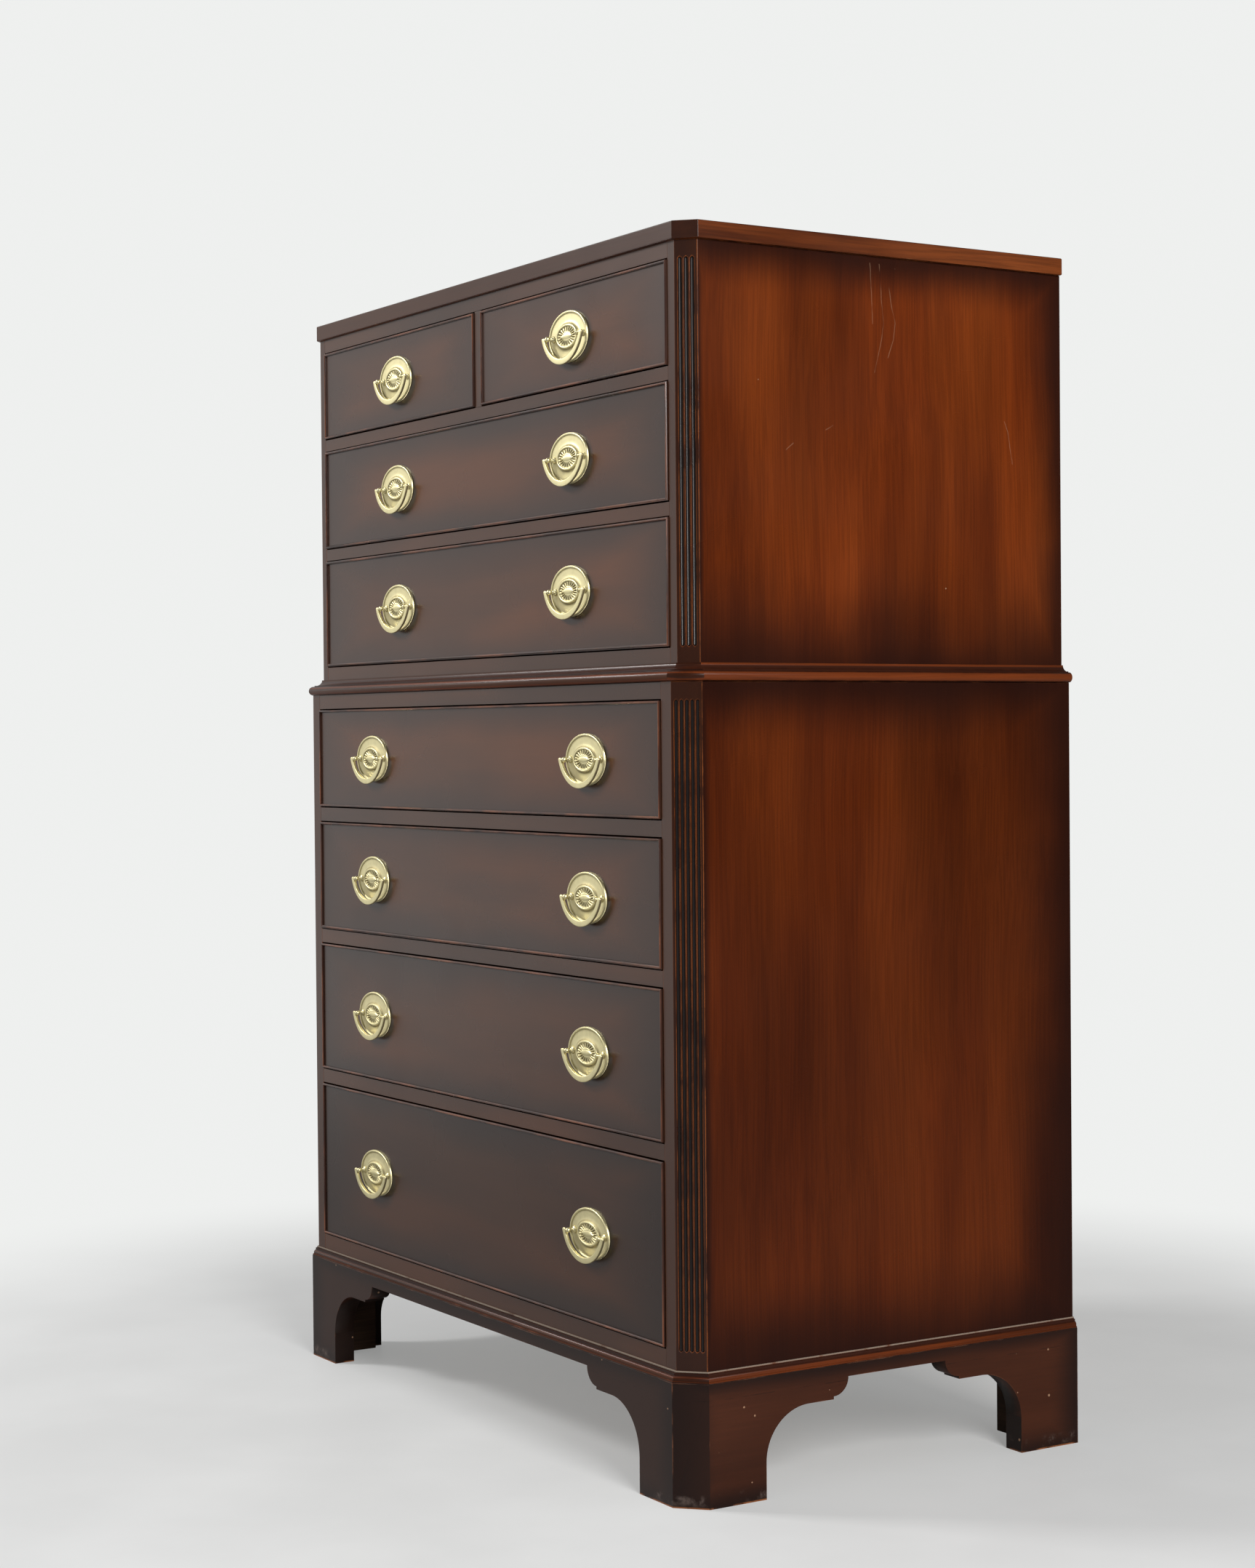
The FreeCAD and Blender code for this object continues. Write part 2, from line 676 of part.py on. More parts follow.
# The rear plinth board with its feet, and the glue blocks in the four corners.
rear = new_body("rear_plinth_board")
rear_face = new_sketch(rear, "rear_face", "XZ_Plane")
rear_foot_edge = "plinth_inner - rear_foot"
rear_slope_edge = "plinth_inner - rear_foot - rear_slope"
outline(rear_face, [("-plinth_inner", "0"), ("-(%s)" % rear_foot_edge, "0"),
                    ("-(%s)" % rear_foot_edge, "cove_low"),
                    ("-(%s)" % rear_slope_edge, "strip_low"),
                    (rear_slope_edge, "strip_low"), (rear_foot_edge, "cove_low"),
                    (rear_foot_edge, "0"), ("plinth_inner", "0"),
                    ("plinth_inner", "plinth_height"), ("-plinth_inner", "plinth_height")])
pad(rear, rear_face, "rear_board_thickness")
place(rear, y="back_y")
front_block = new_body("front_block_right")
front_block_plan = new_sketch(front_block, "front_block_plan", "XY_Plane")
block_inner = "plinth_inner - block_size"
block_rear = "plinth_inner_front + block_size"
outline(front_block_plan, [(block_inner, "plinth_inner_front"), front_corner_inner,
                           side_corner_inner, ("plinth_inner", block_rear),
                           (block_inner, block_rear)])
pad(front_block, front_block_plan, "plinth_height - block_lift")
place(front_block, z="block_lift")
rear_block = board("rear_block_right", (block_inner, "plinth_inner"),
                   ("back_y - rear_board_thickness - block_size", "back_y - rear_board_thickness"),
                   ("block_lift", "plinth_height"))
nodes.append(group("rear_feet_and_blocks", [
    rear, front_block, mirrored("front_block_left", front_block),
    rear_block, mirrored("rear_block_left", rear_block)]))


def prism(name, sides, radius, length, axis, angle, x="0", y="0", z="0"):
    """Make a many-sided rod of a corner radius, turned from Z about an axis."""
    item = doc.addObject("Part::Prism", name)
    item.Polygon = sides
    bind(item, "Circumradius", radius)
    bind(item, "Height", length)
    return place(turn(item, axis, angle), x, y, z)


def oval(name, length, height, rise, base, sides):
    """Make a flat many-sided oval that stands out from a base towards the front."""
    body = new_body(name)
    edge = new_sketch(body, name + "_edge", "XZ_Plane")
    angles = [360 * index / sides for index in range(sides)]
    outline(edge, [("%s / 2 * cos(%f)" % (length, angle), "%s / 2 * sin(%f)" % (height, angle))
                   for angle in angles])
    pad(body, edge, rise)
    return place(body, y="-(%s)" % base)


def fused(name, items):
    """Join several shapes into one solid."""
    item = doc.addObject("Part::MultiFuse", name)
    item.Shapes = items
    return item


def cut(name, base, tool):
    """Cut one shape out of another."""
    item = doc.addObject("Part::Cut", name)
    item.Base = base
    item.Tool = tool
    return item


# One pull, its origin on the drawer's face: plate, posts, nuts and bail.
plate = fused("plate", [
    oval("plate_oval", "plate_length", "plate_height", "plate_thickness", "0", PLATE_SIDES),
    oval("medallion", "medallion_length", "medallion_height", "medallion_rise",
         "plate_thickness", MEDALLION_SIDES),
])
shank = prism("shank", SHANK_SIDES, "shank_diameter / 2", "pivot_reach - plate_thickness", X_AXIS,
              90, "post_half", "-plate_thickness")
head = prism("head", HEAD_SIDES, "head_diameter / 2", "head_length", Y_AXIS, 90,
             "post_half - head_length / 2", "-pivot_reach")
hole_radius = "(pintle_diameter / 2 + pintle_clearance) / cos(%f)" % (180 / PINTLE_SIDES)
pintle_hole = prism("pintle_hole", PINTLE_SIDES, hole_radius, "head_length + 2 * overrun", Y_AXIS,
                    90, "post_half - head_length / 2 - overrun", "-pivot_reach")
post = cut("post", fused("post_blank", [shank, head]), pintle_hole)
nut_radius = "nut_width / 2 / cos(%f)" % (180 / NUT_SIDES)
nut = prism("nut", NUT_SIDES, nut_radius, "nut_thickness", X_AXIS, -90, "post_half",
            "front_thickness")
pull = group("pull", [plate, post, nut, mirrored("post_left", post), mirrored("nut_left", nut)])


def bow(half, drop, radius, way):
    """Give the corners of a hanging bow, from one end to the other, in straight steps."""
    shares = [way * (2 * step / BAIL_STEPS - 1) for step in range(BAIL_STEPS + 1)]
    angles = ["(%f * asin(%s / %s))" % (share, half, radius) for share in shares]
    return [("%s * sin(%s)" % (radius, angle),
             "%s - %s - %s * cos(%s)" % (radius, drop, radius, angle)) for angle in angles]


crescent = new_body("crescent")
crescent_face = new_sketch(crescent, "crescent_face", "XZ_Plane")
outline(crescent_face,
        bow("bail_half", "bail_drop", "bail_outer_radius", 1)
        + [("bail_half", "bail_ear"), ("bail_inner_half", "bail_ear")]
        + bow("bail_inner_half", "bail_inner_drop", "bail_inner_radius", -1)
        + [("-bail_inner_half", "bail_ear"), ("-bail_half", "bail_ear")])
pad(crescent, crescent_face, "bail_thickness", both_ways=True)
pintle = prism("pintle", PINTLE_SIDES, "pintle_diameter / 2", "pintle_length", Y_AXIS, -90,
               "bail_inner_half + bail_end_breadth / 2")
bail = fused("bail", [crescent, pintle, mirrored("pintle_left", pintle)])


def copy_at(name, source, x, y, z):
    """Place one more of a piece that is made several times."""
    return place(group(name, [source]), x, y, z)


bead_profile = [
    ("0", "0"),
    ("bead_thickness", "0"),
    ("bead_thickness", "bead_length - bead_softening"),
    ("bead_thickness - bead_softening", "bead_length"),
    ("bead_softening", "bead_length"),
    ("0", "bead_length - bead_softening"),
]


class Drawer:
    """One drawer: its opening, its boards and its pulls."""

    def __init__(self, name, front, low, opening, half_width, centre, pulls):
        self.name = name
        self.front = front
        self.low = low
        self.high = "%s + %s" % (low, opening)
        self.half_width = half_width
        self.centre = centre
        self.pulls = pulls
        self.front_half_width = "(%s - drawer_gap)" % half_width
        self.front_half_height = "(%s / 2 - drawer_gap)" % opening
        self.middle = "%s + %s / 2" % (low, opening)

    def front_board(self):
        """Make the front with the rebate that takes the cock bead."""
        body = new_body(self.name + "_board")
        face = new_sketch(body, self.name + "_face", "XZ_Plane")
        rectangle(face, self.front_half_width, self.front_half_height)
        pad(body, face, "front_thickness", reverse=True)
        rebate = new_sketch(body, self.name + "_rebate", "XZ_Plane")
        rectangle(rebate, self.front_half_width + " + overrun",
                  self.front_half_height + " + overrun")
        rectangle(rebate, self.front_half_width + " - bead_thickness",
                  self.front_half_height + " - bead_thickness")
        ledge = body.newObject("PartDesign::Pocket", self.name + "_ledge")
        ledge.Profile = rebate
        bind(ledge, "Length", "bead_depth")
        return place(body, self.centre, self.front, self.middle)

    def bead_strip(self, name, strip, angle):
        """Turn one length of cock bead to its side of the front."""
        item = group(name, [strip])
        item.Placement = FreeCAD.Placement(Vector(), FreeCAD.Rotation(Y_AXIS, angle))
        return place(item, self.centre, self.front + " + bead_depth", self.middle)

    def beads(self):
        """Make the four mitred lengths of cock bead."""
        inner_width = self.front_half_width + " - bead_thickness"
        inner_height = self.front_half_height + " - bead_thickness"
        strips = []
        for label, half_length, reach, angle in (
                ("flat", "(%s)" % inner_width, inner_height, 0),
                ("upright", "(%s)" % inner_height, inner_width, 90)):
            name = "%s_bead_%s" % (self.name, label)
            strip = mitred_run(name, bead_profile, half_length, "bead_thickness",
                               SQUARE_MITRE_SHARE, SQUARE_MITRE_SHARE)
            turn(strip, X_AXIS, 90)
            place(strip, z="-(%s)" % reach)
            strips.append(self.bead_strip(name + "_first", strip, angle))
            strips.append(self.bead_strip(name + "_second", strip, angle + 180))
        return strips

    def box(self):
        """Make the sides, the bottom and the back."""
        outer = "(%s - drawer_side_gap)" % self.half_width
        inner = "(%s - drawer_side_thickness)" % outer
        depth = (self.front + " + front_thickness", "drawer_back_y")
        side_z = (self.low + " + drawer_running_gap", self.high + " - drawer_top_gap")
        bottom_z = self.low + " + drawer_bottom_raise"
        floor_z = bottom_z + " + drawer_bottom_thickness"
        across = ("%s - %s" % (self.centre, inner), "%s + %s" % (self.centre, inner))
        sides = [
            board(self.name + "_box_left",
                  ("%s - %s" % (self.centre, outer), across[0]), depth, side_z),
            board(self.name + "_box_right",
                  (across[1], "%s + %s" % (self.centre, outer)), depth, side_z),
        ]
        bottom = board(self.name + "_box_bottom", across, depth, (bottom_z, floor_z))
        back = board(self.name + "_box_back", across,
                     ("drawer_back_y - drawer_back_thickness", "drawer_back_y"),
                     (floor_z, self.high + " - drawer_top_gap - drawer_back_drop"))
        return group(self.name + "_box", sides + [bottom, back])

    def build(self):
        """Make every node of the drawer."""
        pieces = [group(self.name + "_front", [self.front_board()] + self.beads()), self.box()]
        sets = []
        for label, offset in self.pulls.items():
            spot = "(%s) + (%s)" % (self.centre, offset)
            sets.append(copy_at("%s_pull%s" % (self.name, label), pull, spot, self.front,
                                self.middle))
            pieces.append(copy_at("%s_bail%s" % (self.name, label), bail, spot,
                                  self.front + " - pivot_reach", self.middle))
        pieces.append(group(self.name + "_plates", sets))
        return pieces


ONE_PULL = {"": "0"}
UPPER_PULLS = {"_left": "-upper_pull_x", "_right": "upper_pull_x"}
LOWER_PULLS = {"_left": "-lower_pull_x", "_right": "lower_pull_x"}
DRAWERS = [
    Drawer("small_drawer_left", "upper_front", "upper_row_small", "opening_small",
           "small_half", "-small_centre", ONE_PULL),
    Drawer("small_drawer_right", "upper_front", "upper_row_small", "opening_small",
           "small_half", "small_centre", ONE_PULL),
    Drawer("upper_drawer_one", "upper_front", "upper_row_one", "opening_upper_one",
           "opening_half", "0", UPPER_PULLS),
    Drawer("upper_drawer_two", "upper_front", "upper_row_two", "opening_upper_two",
           "opening_half", "0", UPPER_PULLS),
    Drawer("lower_drawer_one", "lower_front", "lower_row_one", "opening_lower_one",
           "opening_half", "0", LOWER_PULLS),
    Drawer("lower_drawer_two", "lower_front", "lower_row_two", "opening_lower_two",
           "opening_half", "0", LOWER_PULLS),
    Drawer("lower_drawer_three", "lower_front", "lower_row_three", "opening_lower_three",
           "opening_half", "0", LOWER_PULLS),
    Drawer("lower_drawer_four", "lower_front", "lower_row_four", "opening_lower_four",
           "opening_half", "0", LOWER_PULLS),
]
for drawer in DRAWERS:
    nodes += drawer.build()

# Check every object, then write one file for each piece of the list.
doc.recompute()
for item in doc.Objects:
    if "Invalid" in item.State or "Error" in item.State:
        raise RuntimeError("not built: " + item.Label)
os.makedirs("parts", exist_ok=True)
for node in nodes:
    if node.Shape.isNull() or not node.Shape.isValid():
        raise RuntimeError("not a sound shape: " + node.Label)
    node.Shape.exportStep(os.path.join("parts", node.Label + ".step"))
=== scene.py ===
import logging
import math
from dataclasses import dataclass, field, replace
from enum import Enum
from typing import Any, Optional, Sequence, Union

import bpy
import numpy as np
from mathutils import Matrix, Vector


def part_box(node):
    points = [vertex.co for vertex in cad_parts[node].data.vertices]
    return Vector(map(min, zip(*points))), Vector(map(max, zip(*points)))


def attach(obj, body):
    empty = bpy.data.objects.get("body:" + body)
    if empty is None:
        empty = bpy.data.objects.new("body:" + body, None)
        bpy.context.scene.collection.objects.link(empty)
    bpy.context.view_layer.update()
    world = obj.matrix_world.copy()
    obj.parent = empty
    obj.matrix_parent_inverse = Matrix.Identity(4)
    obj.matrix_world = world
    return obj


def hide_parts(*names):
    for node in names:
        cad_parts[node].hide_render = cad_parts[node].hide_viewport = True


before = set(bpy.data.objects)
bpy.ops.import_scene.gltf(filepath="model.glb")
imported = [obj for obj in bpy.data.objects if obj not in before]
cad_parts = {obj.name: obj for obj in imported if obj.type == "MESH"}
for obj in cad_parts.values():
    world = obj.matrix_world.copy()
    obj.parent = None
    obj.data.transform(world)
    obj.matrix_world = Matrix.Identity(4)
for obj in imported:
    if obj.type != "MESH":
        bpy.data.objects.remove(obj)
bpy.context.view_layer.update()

# Looks of a chest on chest: old polished mahogany, satin brass pulls and a plain studio.
# Lengths are in metres. X runs to the right as seen from the front, the front faces -Y, Z is up.

LOG = logging.getLogger("chest")
MM = 0.001
WELD_GAP = 0.02 * MM
ARRIS_SEGMENTS = 2
ARRIS_ANGLE = math.radians(40.0)
EDGES = ("Low U", "High U", "Low V", "High V")
Colour = tuple[float, float, float]
Triple = tuple[float, float, float]
Span = tuple[float, float]
Socket = bpy.types.NodeSocket
Outputs = bpy.types.bpy_prop_collection
Feed = Union[float, Sequence[float], Socket]


class Grain(Enum):
    """The way that a board's grain runs; the value orders the axes so that it comes last.

    ROUND is for pieces that go round the chest: along X, and along Y on faces that look along X.
    """

    ALONG_X = ("Y", "Z", "X")
    ALONG_Y = ("X", "Z", "Y")
    ALONG_Z = ("X", "Y", "Z")
    ROUND = ("Z", "Y", "X")


class Face(Enum):
    """The two axes that lie in a panel's show face."""

    FRONT = ("X", "Z")
    SIDE = ("Y", "Z")


class Graph:
    """Adds nodes to one tree and links them by the names of their sockets."""

    def __init__(self, tree: bpy.types.NodeTree) -> None:
        """Keep the tree."""
        self.tree = tree

    @classmethod
    def of(cls, owner: Union[bpy.types.Material, bpy.types.World]) -> "Graph":
        """Return the emptied graph of a material or a world.

        Args:
            owner: The material or the world.

        Returns:
            The graph.
        """
        owner.use_nodes = True
        owner.node_tree.nodes.clear()
        return cls(owner.node_tree)

    def feed(self, socket: Socket, value: Feed) -> None:
        """Link a socket, or set its plain value.

        Args:
            socket: The input to fill.
            value: An output to link, a number, or a colour or vector.
        """
        if isinstance(value, Socket):
            self.tree.links.new(value, socket)
        elif isinstance(value, (int, float)):
            socket.default_value = value
        else:
            opaque = [1.0] if socket.type == "RGBA" and len(value) == 3 else []
            socket.default_value = list(value) + opaque

    def node(self, kind: str, inputs: Optional[dict[Any, Feed]] = None,
             **settings: Any) -> bpy.types.Node:
        """Add one shader node.

        Args:
            kind: The node's type, without the words that all shader nodes start with.
            inputs: Values or links for its inputs, by name or number.
            settings: The node's own options.

        Returns:
            The new node.
        """
        made = self.tree.nodes.new("ShaderNode" + kind)
        for key, value in settings.items():
            setattr(made, key, value)
        for key, value in (inputs or {}).items():
            self.feed(made.inputs[key], value)
        return made

    def use(self, group: bpy.types.NodeTree, inputs: dict[Any, Feed]) -> Outputs:
        """Place a shared group and return its outputs."""
        return self.node("Group", inputs, node_tree=group).outputs

    def math(self, operation: str, first: Feed, second: Feed = 0.0, third: float = 0.0,
             clamp: bool = False) -> Socket:
        """Return the result of one sum on two or three values."""
        return self.node("Math", {0: first, 1: second, 2: third}, operation=operation,
                         use_clamp=clamp).outputs[0]

    def times(self, first: Feed, *others: Feed) -> Socket:
        """Return the product of several values.

        Args:
            first: The first value.
            others: The values that it is multiplied by in turn.

        Returns:
            The product.
        """
        for other in others:
            first = self.math("MULTIPLY", first, other)
        return first

    def vector(self, operation: str, first: Feed, second: Feed = (0, 0, 0)) -> Socket:
        """Return the vector that one sum on two vectors gives."""
        return self.node("VectorMath", {0: first, 1: second}, operation=operation).outputs[0]

    def measure(self, operation: str, first: Feed, second: Feed = (0, 0, 0)) -> Socket:
        """Return the number that one sum on two vectors gives."""
        made = self.node("VectorMath", {0: first, 1: second}, operation=operation)
        return made.outputs["Value"]

    def scaled(self, first: Feed, factor: Feed) -> Socket:
        """Return a vector times a number."""
        return self.node("VectorMath", {0: first, "Scale": factor}, operation="SCALE").outputs[0]

    def split(self, vector: Feed) -> Outputs:
        """Return the three parts of a vector."""
        return self.node("SeparateXYZ", {0: vector}).outputs

    def join(self, *parts: Feed) -> Socket:
        """Return the vector of up to three parts."""
        return self.node("CombineXYZ", dict(enumerate(parts))).outputs[0]

    def grey(self, value: Feed) -> Socket:
        """Return the grey of a value."""
        return self.node("CombineColor", {0: value, 1: value, 2: value}).outputs[0]

    def ease(self, value: Feed, start: Feed, end: Feed, low: float = 0.0,
             high: float = 1.0) -> Socket:
        """Return a value that eases from low to high while the input goes from start to end."""
        limits = {"From Min": start, "From Max": end, "To Min": low, "To Max": high}
        return self.node("MapRange", {"Value": value, **limits},
                         interpolation_type="SMOOTHSTEP").outputs[0]

    def mix(self, share: Feed, first: Feed, second: Feed, blend: str = "MIX") -> Socket:
        """Return a mix of two colours."""
        return self.node("Mix", {0: share, 6: first, 7: second}, data_type="RGBA",
                         blend_type=blend).outputs[2]

    def noise(self, where: Feed, scale: Feed, detail: float = 2.0, rough: float = 0.5,
              output: str = "Fac") -> Socket:
        """Return the noise at a place, as a value or a colour."""
        return self.node("TexNoise", {"Vector": where, "Scale": scale, "Detail": detail,
                                      "Roughness": rough}).outputs[output]

    def shaken(self, where: Feed, scale: float, detail: float, reach: Triple) -> Socket:
        """Return a vector of noise about nothing, times a reach along each axis."""
        noise = self.noise(where, scale, detail, output="Color")
        return self.vector("MULTIPLY", self.vector("SUBTRACT", noise, (0.5, 0.5, 0.5)), reach)

    def finish(self, **inputs: Feed) -> None:
        """Add the material's shader and its output.

        Args:
            inputs: The shader's inputs, with a line in place of each space of their names.
        """
        named = {key.replace("_", " "): value for key, value in inputs.items()}
        shader = self.node("BsdfPrincipled", named)
        self.node("OutputMaterial", {"Surface": shader.outputs[0]})


class Groups:
    """The shared effects, each a node group that is built once."""

    # How far a seed moves the grain, and how the grain sways sideways
    SEED_STEP = (1.7, 3.1, 0.9)
    SWAY_STRETCH = (3.4, 3.4, 2.2)
    SWAY_REACH = (0.03, 0.03, 0.0)
    SWAY_DETAIL = 1.5
    # Each part of the grain: the input for its breadth, its share of that and of the length, its
    # detail and the noise that it rises between
    GRAIN_PARTS = {"Ribbon": ("Ribbon", 1.0, 1.0, 3.0, (0.28, 0.72)),
                   "Fibre": ("Fibre", 1.0, 4.5, 3.0, (0.28, 0.72)),
                   "Pores": ("Fibre", 2.4, 34.0, 1.0, (0.60, 0.74))}
    GRAIN_ROUGHNESS = 0.55
    # How uneven a border is
    BORDER_SCALE = 7.0
    BORDER_UNEVEN = 0.5
    # How far a rounded normal turns at a rubbed edge, and the noise that keeps a patch of it
    TURN_SPAN = (0.985, 0.80)
    WEAR_SAMPLES = 4
    WEAR_START = 0.72
    WEAR_FADE = 0.22
    WEAR_DETAIL = (4.0, 0.65)
    SMALLEST_SPECK = 0.3
    # How a scratch wanders and fades
    SCRATCH_SHAKE = (30.0, 2.0, (0.004, 0.004, 0.004))
    SCRATCH_BREAKS = 40.0
    SCRATCH_FADE = (0.26, 0.46, 0.25, 1.0)
    # The slope that dust lies on and how it thins
    DUST_SLOPE = (0.55, 0.95)
    DUST_NOISE = (60.0, 4.0)
    DUST_SPAN = (0.35, 0.75)
    # The parts of the normal that make each mask
    FRONT_SPAN = (0.75, 0.95)
    SIDE_SPAN = (0.70, 0.80)
    CANT_SPAN = (0.28, 0.42)
    INSIDE_SPAN = (-0.05, -0.20)

    def __init__(self) -> None:
        """Build every group."""
        self.grain = self.make_grain()
        self.panel = self.make_panel()
        self.wear = self.make_wear()
        self.specks = self.make_specks()
        self.scratch = self.make_scratch()
        self.dust = self.make_dust()
        self.facing = self.make_facing()

    @staticmethod
    def start(name: str, vectors: Sequence[str], values: Sequence[str],
              outputs: Sequence[str]) -> tuple[Graph, Outputs, bpy.types.bpy_prop_collection]:
        """Start a group with its named sockets.

        Args:
            name: The group's name.
            vectors: The names of its vector inputs.
            values: The names of its value inputs.
            outputs: The names of its value outputs.

        Returns:
            The group's graph, what it is given and the sockets that it gives out.
        """
        tree = bpy.data.node_groups.new(name, "ShaderNodeTree")
        kinds = [(label, "INPUT", "NodeSocketVector") for label in vectors]
        kinds += [(label, "INPUT", "NodeSocketFloat") for label in values]
        kinds += [(label, "OUTPUT", "NodeSocketFloat") for label in outputs]
        for label, way, kind in kinds:
            tree.interface.new_socket(label, in_out=way, socket_type=kind)
        given = tree.nodes.new("NodeGroupInput").outputs
        return Graph(tree), given, tree.nodes.new("NodeGroupOutput").inputs

    def make_grain(self) -> bpy.types.NodeTree:
        """Build the grain: wandering ribbons, fine fibres and short dark pores.

        All three are noise drawn out along the third axis; a slow noise pushes the place sideways
        first, so that the ribbons wander.

        Returns:
            The group.
        """
        graph, given, out = self.start("wood_grain", ("Along",),
                                       ("Ribbon", "Fibre", "Length", "Seed"),
                                       tuple(self.GRAIN_PARTS))
        place = graph.vector("ADD", given["Along"], graph.scaled(self.SEED_STEP, given["Seed"]))
        slow = graph.vector("MULTIPLY", place, self.SWAY_STRETCH)
        place = graph.vector("ADD", place, graph.shaken(slow, 1.0, self.SWAY_DETAIL,
                                                         self.SWAY_REACH))
        for label, (breadth, width, run, detail, span) in self.GRAIN_PARTS.items():
            across = graph.times(given[breadth], width)
            stretch = graph.join(across, across, graph.times(given["Length"], run))
            drawn = graph.vector("MULTIPLY", place, stretch)
            noise = graph.noise(drawn, 1.0, detail, self.GRAIN_ROUGHNESS)
            graph.feed(out[label], graph.ease(noise, *span))
        return graph.tree

    def make_panel(self) -> bpy.types.NodeTree:
        """Build the shaded border of a panel.

        The shade is one less the smallest of the four distances to the panel's edges, each divided
        by its own fade, eased and made uneven by a slow noise.

        Returns:
            The group.
        """
        values = ("U", "V") + EDGES + tuple("Fade " + edge for edge in EDGES)
        graph, given, out = self.start("panel_border", ("Where",), values, ("Edge",))
        shares = []
        for axis in ("U", "V"):
            low = graph.math("SUBTRACT", given[axis], given["Low " + axis])
            high = graph.math("SUBTRACT", given["High " + axis], given[axis])
            shares.append(graph.math("MINIMUM",
                                     graph.math("DIVIDE", low, given["Fade Low " + axis]),
                                     graph.math("DIVIDE", high, given["Fade High " + axis])))
        uneven = graph.math("MULTIPLY_ADD", graph.noise(given["Where"], self.BORDER_SCALE),
                            self.BORDER_UNEVEN, -0.5 * self.BORDER_UNEVEN)
        nearest = graph.math("ADD", graph.math("MINIMUM", *shares), uneven)
        graph.feed(out["Edge"], graph.ease(nearest, 0.0, 1.0, 1.0, 0.0))
        return graph.tree

    def make_wear(self) -> bpy.types.NodeTree:
        """Build the rubbed edges: where a rounded normal leaves the face's own, in patches.

        Returns:
            The group.
        """
        graph, given, out = self.start("rubbed_edges", ("Where",),
                                       ("Radius", "Patches", "Share"), ("Wear",))
        rounded = graph.node("Bevel", {"Radius": given["Radius"]},
                             samples=self.WEAR_SAMPLES).outputs[0]
        flat = graph.node("NewGeometry").outputs["Normal"]
        turn = graph.ease(graph.measure("DOT_PRODUCT", rounded, flat), *self.TURN_SPAN)
        patch = graph.noise(given["Where"], given["Patches"], *self.WEAR_DETAIL)
        start = graph.math("SUBTRACT", self.WEAR_START, given["Share"])
        kept = graph.ease(patch, start, graph.math("ADD", start, self.WEAR_FADE))
        graph.feed(out["Wear"], graph.math("MULTIPLY", turn, kept, clamp=True))
        return graph.tree

    def make_specks(self) -> bpy.types.NodeTree:
        """Build small dings: spots round scattered points, of which only a share is kept.

        Returns:
            The group.
        """
        graph, given, out = self.start("small_dings", ("Where",), ("Scale", "Size", "Share"),
                                       ("Specks",))
        spots = graph.node("TexVoronoi", {"Vector": given["Where"],
                                          "Scale": given["Scale"]}).outputs
        chance = graph.node("SeparateColor", {0: spots["Color"]}).outputs
        kept = graph.math("LESS_THAN", chance[0], given["Share"])
        size = graph.times(given["Size"], graph.math("ADD", chance[1], self.SMALLEST_SPECK))
        spot = graph.math("LESS_THAN", spots["Distance"], size)
        graph.feed(out["Specks"], graph.times(kept, spot))
        return graph.tree

    def make_scratch(self) -> bpy.types.NodeTree:
        """Build one scratch: the distance to a short line on the panel, broken up by noise.

        Returns:
            The group.
        """
        graph, given, out = self.start("scratch", ("Where", "Start", "End"), ("Width",),
                                       ("Scratch",))
        place = graph.vector("ADD", given["Where"],
                             graph.shaken(given["Where"], *self.SCRATCH_SHAKE))
        run = graph.vector("SUBTRACT", given["End"], given["Start"])
        away = graph.vector("SUBTRACT", place, given["Start"])
        share = graph.math("DIVIDE", graph.measure("DOT_PRODUCT", away, run),
                           graph.measure("DOT_PRODUCT", run, run), clamp=True)
        gap = graph.measure("DISTANCE", away, graph.scaled(run, share))
        line = graph.ease(gap, 0.0, given["Width"], 1.0, 0.0)
        broken = graph.ease(graph.noise(given["Where"], self.SCRATCH_BREAKS), *self.SCRATCH_FADE)
        graph.feed(out["Scratch"], graph.times(line, broken))
        return graph.tree

    def make_dust(self) -> bpy.types.NodeTree:
        """Build settled dust: faces that look up, thinned by noise.

        Returns:
            The group.
        """
        graph, given, out = self.start("settled_dust", ("Where",), ("Share",), ("Dust",))
        normal = graph.node("NewGeometry").outputs["Normal"]
        up = graph.ease(graph.split(normal)["Z"], *self.DUST_SLOPE)
        thin = graph.ease(graph.noise(given["Where"], *self.DUST_NOISE), *self.DUST_SPAN)
        graph.feed(out["Dust"], graph.times(up, thin, given["Share"]))
        return graph.tree

    def make_facing(self) -> bpy.types.NodeTree:
        """Build the masks of the faces that look to the front, a cant, inwards and sideways.

        The cant is where both level parts of the normal are large, and a face looks inwards where
        its normal points against the level line from the chest's middle to it.

        Returns:
            The group.
        """
        graph, given, out = self.start("facing", ("Where",), (),
                                       ("Front", "Cant", "Inside", "Side"))
        normal = graph.node("NewGeometry").outputs["Normal"]
        way = graph.split(normal)
        forward = graph.times(way["Y"], -1.0)
        sideways = graph.math("ABSOLUTE", way["X"])
        level = graph.vector("MULTIPLY", given["Where"], (1.0, 1.0, 0.0))
        outward = graph.measure("DOT_PRODUCT", normal, level)
        for label, value, span in (("Front", forward, self.FRONT_SPAN),
                                   ("Side", sideways, self.SIDE_SPAN),
                                   ("Cant", graph.times(sideways, forward), self.CANT_SPAN),
                                   ("Inside", outward, self.INSIDE_SPAN)):
            graph.feed(out[label], graph.ease(value, *span))
        return graph.tree


